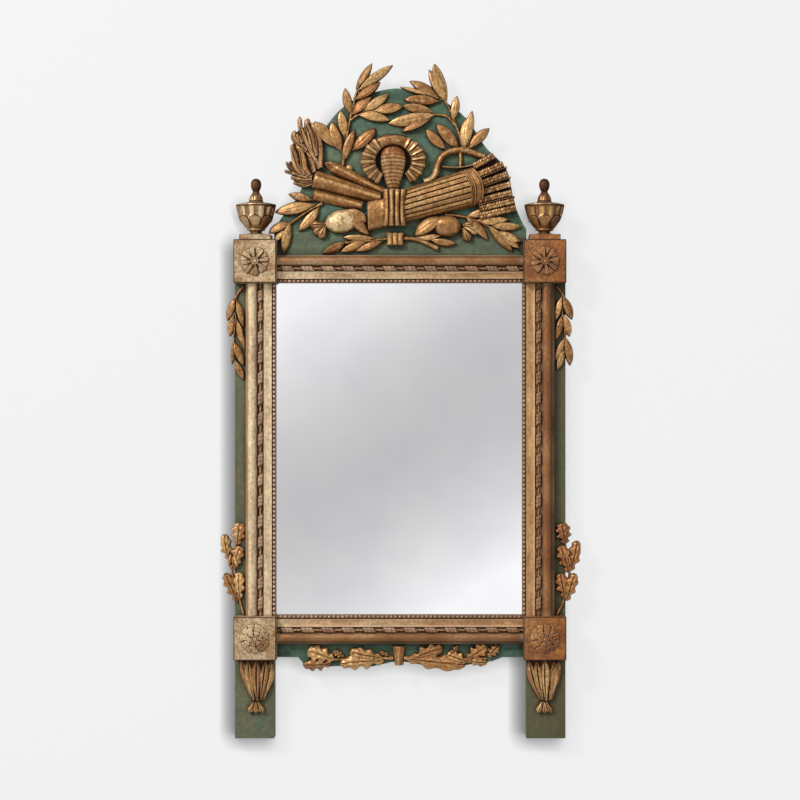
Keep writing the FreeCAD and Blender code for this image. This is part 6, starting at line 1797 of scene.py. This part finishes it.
            # Painted shade in the seams between barbs and along the spine.
            tone = tone + 0.35 * np.sin(5 * s + index) - 0.6 * seam - 0.35 * spine
            work.relief(smooth_path((base, tip), len(s)), half, heights, tone, skirt=0.8)
            if index in self.shafts:
                side = np.array((run[1], -run[0])) / np.hypot(*run) * self.vane_width * 0.56
                start, end = base + side, tip + side + 0.06 * run
                work.stem([start, (start + end) / 2, end], self.shaft_width, self.arrow_relief * 1.05, 0.45,
                          ends=(1.0, 0.9), knots=0.03)
        work.piece("arrow_feathers", CREST_GILDING, ("arrows",), sharp=50)

    def build_bow(self) -> None:
        """Carve the bow's limb with its horn, painted pale as a highlight, and its post, and the string."""
        work = Carving(35)
        # The horn's tone above 1 paints it pale as a highlight.
        parts = ((self.limb, 14.0, 14.0, 0.45, (1.0, 0.95)), (self.horn, 13.0, 15.0, 1.6, (1.0, 1.1)),
                 (self.post, 9.0, 8.0, 0.6, (1.0, 0.9)), (self.string, 4.0, 13.0, 1.2, (1.0, 1.0)))
        for places, width, relief, tone, ends in parts:
            work.stem([crest_place(*pair) for pair in places], width, relief, tone, ends=ends, knots=0.02)
        work.piece("bow_and_string", CREST_GILDING, ("bow",))


@dataclass
class RoseStem:
    """One of the two rose stems at the crest's foot, with its hip, leaves and bud."""

    side_name: str
    hip_relief: float = 17.0
    bud_width: float = 36.0
    bud_relief: float = 13.0
    leaf_relief: float = 10.0
    over_relief: float = 15.0
    stem_relief: float = 7.5
    # Hip ends, width and tone; the left hip's tone above 1 paints it pale as a highlight.
    hips: dict[str, tuple] = field(default_factory=lambda: {
        "left": ((-0.17, 0.187), (-0.2975, 0.153), 42.0, 1.95),
        "right": ((0.135, 0.15), (0.243, 0.142), 39.0, 0.25),
    })
    over_leaves: dict[str, Rows] = field(default_factory=lambda: {
        "left": ((-0.2155, 0.229, -0.128, 0.166, 0.5), (-0.224, 0.213, -0.122, 0.1, 0.32)),
        "right": ((0.166, 0.193, 0.058, 0.099, 0.42),),
    })
    tables: dict[str, tuple] = field(default_factory=lambda: {
        "left": (LEFT_ROSE_LEAF, LEFT_ROSE_STEM, LEFT_BUD, 7.0, 61),
        "right": (RIGHT_ROSE_LEAF, RIGHT_ROSE_STEM, RIGHT_BUD, 11.5, 62),
    })

    def build(self) -> None:
        """Carve the smooth hip, the leaves over and under it, the stem and the cluster at the hip's end."""
        leaf_rows, stem_rows, bud_rows, stem_width, seed = self.tables[self.side_name]
        work = Carving(seed)
        start, end, width, tone = self.hips[self.side_name]
        work.leaf(crest_place(*start), crest_place(*end), width, self.hip_relief, BULB, tone=tone)
        work.leaves(self.over_leaves[self.side_name], crest_place, self.over_relief, LAUREL)
        work.leaves(leaf_rows, crest_place, self.leaf_relief, LAUREL)
        work.stem([crest_place(*pair) for pair in stem_rows], stem_width, self.stem_relief, ends=(0.8, 1.0))
        work.leaves(bud_rows, crest_place, self.bud_relief, BUD, self.bud_width / 2)
        work.piece("rose_" + self.side_name, CREST_GILDING, ("rose_stem_" + self.side_name,))


@dataclass
class CrestLaurel:
    """The tall laurel branches over the trophy and the low sprays beside its foot."""

    leaf_relief: float = 10.0
    stem_width: float = 7.0
    stem_relief: float = 6.5
    berry: float = 14.0
    berry_degrees: tuple[float, ...] = (-24, -5, 15, 35, 55, 72, 88)
    branches: tuple = (
        ("laurel_branch_left", LEFT_BRANCH,
         ((*LEFT_BRANCH_STEM, (-0.16, 0.848)), LEFT_ARM), 71),
        ("laurel_branch_right", RIGHT_BRANCH,
         (RIGHT_BRANCH_STEM, RIGHT_ARM, RIGHT_FORK), 72),
        ("laurel_spray_left", LEFT_SPRAY, (LEFT_SPRAY_STEM,), 73),
        ("laurel_spray_right", RIGHT_SPRAY, (RIGHT_SPRAY_STEM,), 74),
    )

    def build(self) -> None:
        """Carve each branch and spray."""
        for node, rows, stems, seed in self.branches:
            work = Carving(seed)
            work.leaves(rows, crest_place, self.leaf_relief, LAUREL)
            for places in stems:
                work.stem([crest_place(*pair) for pair in places], self.stem_width, self.stem_relief)
            if node == "laurel_branch_left":
                radius = self.berry / 2
                turns = np.radians(self.berry_degrees)
                rows = [(math.cos(turn), radius * (0.4 + math.sin(turn))) for turn in turns]
                work.boss(crest_place(*BERRY), radius, rows, FRONT, 0.8, 24)
            work.piece(node + "_carving", CREST_GILDING, (node,))


@dataclass
class SideOrnament:
    """What hangs beside one stile: a laurel drop, an oak spray with acorns and a bell-flower husk."""

    side_name: str
    drop_height: float = 178.0
    leaf_relief: float = 8.5
    oak_relief: float = 9.0
    oak_fullness: float = 1.3
    stem_width: float = 5.0
    stem_relief: float = 5.0
    acorn_width: float = 17.0
    acorn_relief: float = 10.0
    husk_height: float = 97.0
    husk_width: float = 58.0
    husk_relief: float = 11.0
    bud_share: float = 0.46
    husk: Rows = (
        (-0.05, 0.75, -0.24, 0.02, 0.28), (0.15, 0.75, 0.3, 0.02, 0.28), (-0.13, 0.74, -0.47, 0.015, 0.26),
        (0.23, 0.74, 0.46, 0.02, 0.27), (0.05, 0.77, 0.02, 0.0, 0.29),
    )
    tables: dict[str, tuple] = field(default_factory=lambda: {
        "left": (LEFT_DROP, LEFT_DROP_STEM, LEFT_OAK_LEAF, LEFT_OAK_STEM,
                 LEFT_ACORN),
        "right": (RIGHT_DROP, RIGHT_DROP_STEM, RIGHT_OAK_LEAF, RIGHT_OAK_STEM,
                  RIGHT_ACORN),
    })

    def build(self) -> None:
        """Carve the drop, the spray and the husk."""
        side = dict(SIDES)[self.side_name]
        drop, drop_stem, oak, oak_stem, acorns = self.tables[self.side_name]

        def beside(level: float) -> Place:
            """Give what places shares of the drop outward from the stile's edge and up from a level."""
            return lambda out, up: (side * (OUTER_HALF_WIDTH + out * self.drop_height),
                                    level + up * self.drop_height)

        place = beside(SIGHT_HALF_HEIGHT)
        work = Carving(81 + side)
        work.leaves(drop, place, self.leaf_relief, LAUREL)
        work.stem([place(*pair) for pair in drop_stem], self.stem_width, self.stem_relief)
        work.piece("drop_" + self.side_name, CREST_GILDING, ("laurel_drop_" + self.side_name,))
        place = beside(-SIGHT_HALF_HEIGHT)
        work = Carving(84 + side)
        work.leaves([(*row[:4], row[4] * self.oak_fullness) for row in oak], place, self.oak_relief, OAK)
        work.stem([place(*pair) for pair in oak_stem], self.stem_width, self.stem_relief)
        work.leaves(acorns, place, self.acorn_relief, BULB, self.acorn_width / 2)
        work.piece("oak_" + self.side_name, OAK_GILDING, ("oak_spray_" + self.side_name,))
        self.build_husk(side)

    def build_husk(self, side: int) -> None:
        """Carve the bell-flower husk on the leg.

        Args:
            side: -1 for the left leg, 1 for the right.
        """
        def place(across: float, down: float) -> Pair:
            """Place shares of the husk across from its middle and down from the block."""
            return side * BLOCK_CENTRE + across * self.husk_width, -BLOCK_EDGE - down * self.husk_height

        work = Carving(87 + side)
        # A dark bed of painted shade behind the husk.
        bed = smooth_path((place(0, 0.05), place(0, 0.78)), 8)
        work.relief(bed, np.linspace(22, 8, len(bed)), 2.0, -0.8)
        work.leaves(self.husk, place, self.husk_relief, HUSK)
        work.leaves(HUSK_BUD, place, self.husk_relief, BUD, self.husk_width * self.bud_share / 2)
        work.piece("bell_flower_" + self.side_name, CREST_GILDING, ("husk_" + self.side_name,))


@dataclass
class Garland:
    """The oak garland on the apron, in two halves under a clasp."""

    relief: float = 10.0
    stem_width: float = 8.0
    stem_relief: float = 6.5
    clasp_width: float = 22.0
    clasp_relief: float = 13.0
    left: Rows = (
        (-0.345, -0.1, -0.485, -0.106, 0.46), (-0.33, -0.079, -0.465, -0.034, 0.72),
        (-0.28, -0.066, -0.335, -0.035, 0.66), (-0.08, -0.086, -0.303, -0.1, 0.38),
        (-0.09, -0.07, -0.255, -0.04, 0.5), (-0.045, -0.066, -0.106, -0.041, 0.4),
    )
    right: Rows = (
        (0.03, -0.074, 0.325, -0.106, 0.32), (0.335, -0.092, 0.232, -0.054, 0.72),
        (0.242, -0.063, 0.29, -0.008, 0.5), (0.331, -0.084, 0.435, -0.095, 0.5),
        (0.44, -0.067, 0.491, -0.008, 0.85), (0.332, -0.076, 0.434, -0.012, 0.74),
        (0.057, -0.079, 0.215, -0.022, 0.52),
    )

    def build(self) -> None:
        """Carve both halves and the clasp."""
        halves = (("left", self.left, GARLAND_LEFT_STEM, 91),
                  ("right", self.right, GARLAND_RIGHT_STEM, 92))
        for name, rows, stem_rows, seed in halves:
            work = Carving(seed)
            work.leaves(rows, apron_place, self.relief, OAK)
            work.stem([apron_place(*pair) for pair in stem_rows], self.stem_width, self.stem_relief)
            work.piece("garland_" + name, OAK_GILDING, ("oak_garland_" + name,))
        work = Carving(93)
        line, low, high = CLASP
        widths = (0.7 * self.clasp_width, 1.1 * self.clasp_width)
        stave(work, apron_place(line, low), apron_place(line, high), widths, self.clasp_relief, 0.8, 3)
        work.piece("clasp", OAK_GILDING, ("garland_clasp",))


@dataclass
class Studio:
    """The wall, the floor, the lamps, the world and the camera."""

    wall_gap: float = 2.0
    floor_level: float = -760.0
    reach: float = 6000.0
    floor_depth: float = 2200.0
    wall_colour: str = "#F6F6F6"
    own_light: float = 0.84
    painted_shadow_reach: float = 33.0
    painted_shadow_depth: float = 1.45
    painted_shadow_from: Triple = (0.8, -0.45, 0.4)
    room_way: Triple = (-0.35, 0.0, 0.45)
    room_span: Pair = (-0.45, 0.4)
    room_light: Pair = (0.12, 1.0)
    valley_way: Triple = (-7.0, 0.0, 11.5)
    valley_shift: float = 0.07
    valley_light: Pair = (0.58, 1.0)
    ahead_span: Pair = (-0.94, -0.99)
    soft_share: float = 0.62
    backing_light: float = 0.9
    camera_place: Triple = (80.0, -4000.0, 88.0)
    lens: float = 100.3
    shift: float = -0.0565
    clip_end: float = 50.0
    lamps: tuple[tuple[str, Triple, float, float], ...] = (
        ("key", (-2300.0, -3000.0, 2500.0), 900.0, 108.0),
        ("fill", (1600.0, -2600.0, 300.0), 1600.0, 8.0),
    )

    def backdrop(self) -> Material:
        """Make the pale backdrop: it keeps shadows, carries a painted shadow beside the frame and is clear
        from behind.

        Returns:
            The material.
        """
        made = bpy.data.materials.new("pale_backdrop")
        tree = clear_tree(made)
        rays = add(tree, "LightPath").outputs
        seen = reckon(tree, "ADD", rays["Is Camera Ray"], rays["Is Glossy Ray"])
        seen = reckon(tree, "ADD", seen, rays["Is Transmission Ray"])
        behind = add(tree, "NewGeometry").outputs["Backfacing"]
        front = reckon(tree, "SUBTRACT", 1.0, behind)
        shown = reckon(tree, "MULTIPLY", seen, front, use_clamp=True)
        # Painted shadow: the backdrop darkens where ambient occlusion, leaning to the upper right, finds the
        # frame, as a soft shadow to its left and below.
        lean = add(tree, "CombineXYZ", dict(enumerate(self.painted_shadow_from))).outputs[0]
        painted_shadow = add(tree, "AmbientOcclusion", {"Distance": self.painted_shadow_reach * MM, "Normal": lean},
                   samples=16).outputs["AO"]
        painted_shadow = grey(tree, reckon(tree, "POWER", painted_shadow, self.painted_shadow_depth))
        colour = blend(tree, 1.0, painted_shadow, self.wall_colour, "MULTIPLY")
        lit = add(tree, "BsdfDiffuse", {"Color": colour}).outputs[0]
        glow = add(tree, "Emission", {"Color": colour}).outputs[0]
        pale = add(tree, "MixShader", {0: self.own_light, 1: lit, 2: glow}).outputs[0]
        clear = add(tree, "BsdfTransparent").outputs[0]
        whole = add(tree, "MixShader", {0: shown, 1: clear, 2: pale}).outputs[0]
        add(tree, "OutputMaterial", {0: whole})
        return made

    def sheet(self, name: str, corners: Rows, material: Material) -> None:
        """Set up a flat sheet of the stage.

        Args:
            name: Its name.
            corners: Its four corners in millimetres.
            material: Its material.
        """
        mesh = bpy.data.meshes.new(name)
        mesh.from_pydata([[part * MM for part in corner] for corner in corners], [], [(0, 1, 2, 3)])
        mesh.materials.append(material)
        add_object(name, mesh)

    def build_world(self) -> None:
        """Light the room evenly, and give metal and glass a room to reflect."""
        world = bpy.data.worlds.new("studio")
        bpy.context.scene.world = world
        tree = clear_tree(world)
        rays = add(tree, "LightPath").outputs
        way = add(tree, "TexCoord").outputs["Generated"]
        front = add(tree, "SeparateXYZ", {0: way}).outputs[1]
        lit, slope = (add(tree, "VectorMath", {0: way, 1: lean}, operation="DOT_PRODUCT").outputs["Value"]
                      for lean in (self.room_way, self.valley_way))
        lit = ramp(tree, lit, self.room_span, self.room_light)
        slope = reckon(tree, "ADD", slope, self.valley_shift)
        slope = reckon(tree, "MULTIPLY", slope, slope, use_clamp=True)
        valley = ramp(tree, slope, (0.0, 1.0), self.valley_light)
        ahead = ramp(tree, front, self.ahead_span, interpolation_type="SMOOTHSTEP")
        room = between(tree, ahead, lit, valley)
        soft = reckon(tree, "MULTIPLY", lit, self.soft_share)
        light = between(tree, rays["Is Glossy Ray"], soft, room)
        light = between(tree, rays["Is Camera Ray"], light, self.backing_light)
        shader = add(tree, "Background", {"Color": linear("#FFFFFF"), "Strength": light}).outputs[0]
        add(tree, "OutputWorld", {0: shader})

    def build(self) -> None:
        """Set up the stage, the lamps and the camera."""
        scene = bpy.context.scene
        scene.view_settings.view_transform = "Standard"
        pale = self.backdrop()
        far, low, gap, near = self.reach, self.floor_level, self.wall_gap, -self.floor_depth
        self.sheet("wall", ((-far, gap, low), (far, gap, low), (far, gap, far), (-far, gap, far)), pale)
        self.sheet("floor", ((-far, near, low), (far, near, low), (far, gap, low), (-far, gap, low)), pale)
        self.build_world()
        for name, place, size, power in self.lamps:
            lamp = bpy.data.lights.new(name, "AREA")
            lamp.size = size * MM
            lamp.energy = power
            made = add_object(name, lamp)
            made.location = [part * MM for part in place]
            made.rotation_euler = (-Vector(place)).to_track_quat("-Z", "Y").to_euler()
        lens = bpy.data.cameras.new("camera")
        lens.lens = self.lens
        lens.shift_x = self.shift
        lens.clip_end = self.clip_end
        made = add_object("camera", lens)
        made.location = [part * MM for part in self.camera_place]
        made.rotation_euler = (math.radians(90), 0, 0)
        bpy.context.scene.camera = made


def main() -> None:
    """Build every sub-assembly in order."""
    logging.basicConfig(level=logging.INFO, format="%(name)s %(message)s")
    Studio().build()
    Carcass().build()
    MirrorPlate().build()
    Hangers().build()
    for run in Run:
        MouldingRun(run).build()
    for name, _ in SIDES:
        for level in ("top", "bottom"):
            CornerBlock(level, name).build()
        Urn(name).build()
        RoseStem(name).build()
        SideOrnament(name).build()
    Trophy().build()
    Ribbon().build()
    CrestLaurel().build()
    Garland().build()


if __name__ == "__main__":
    main()
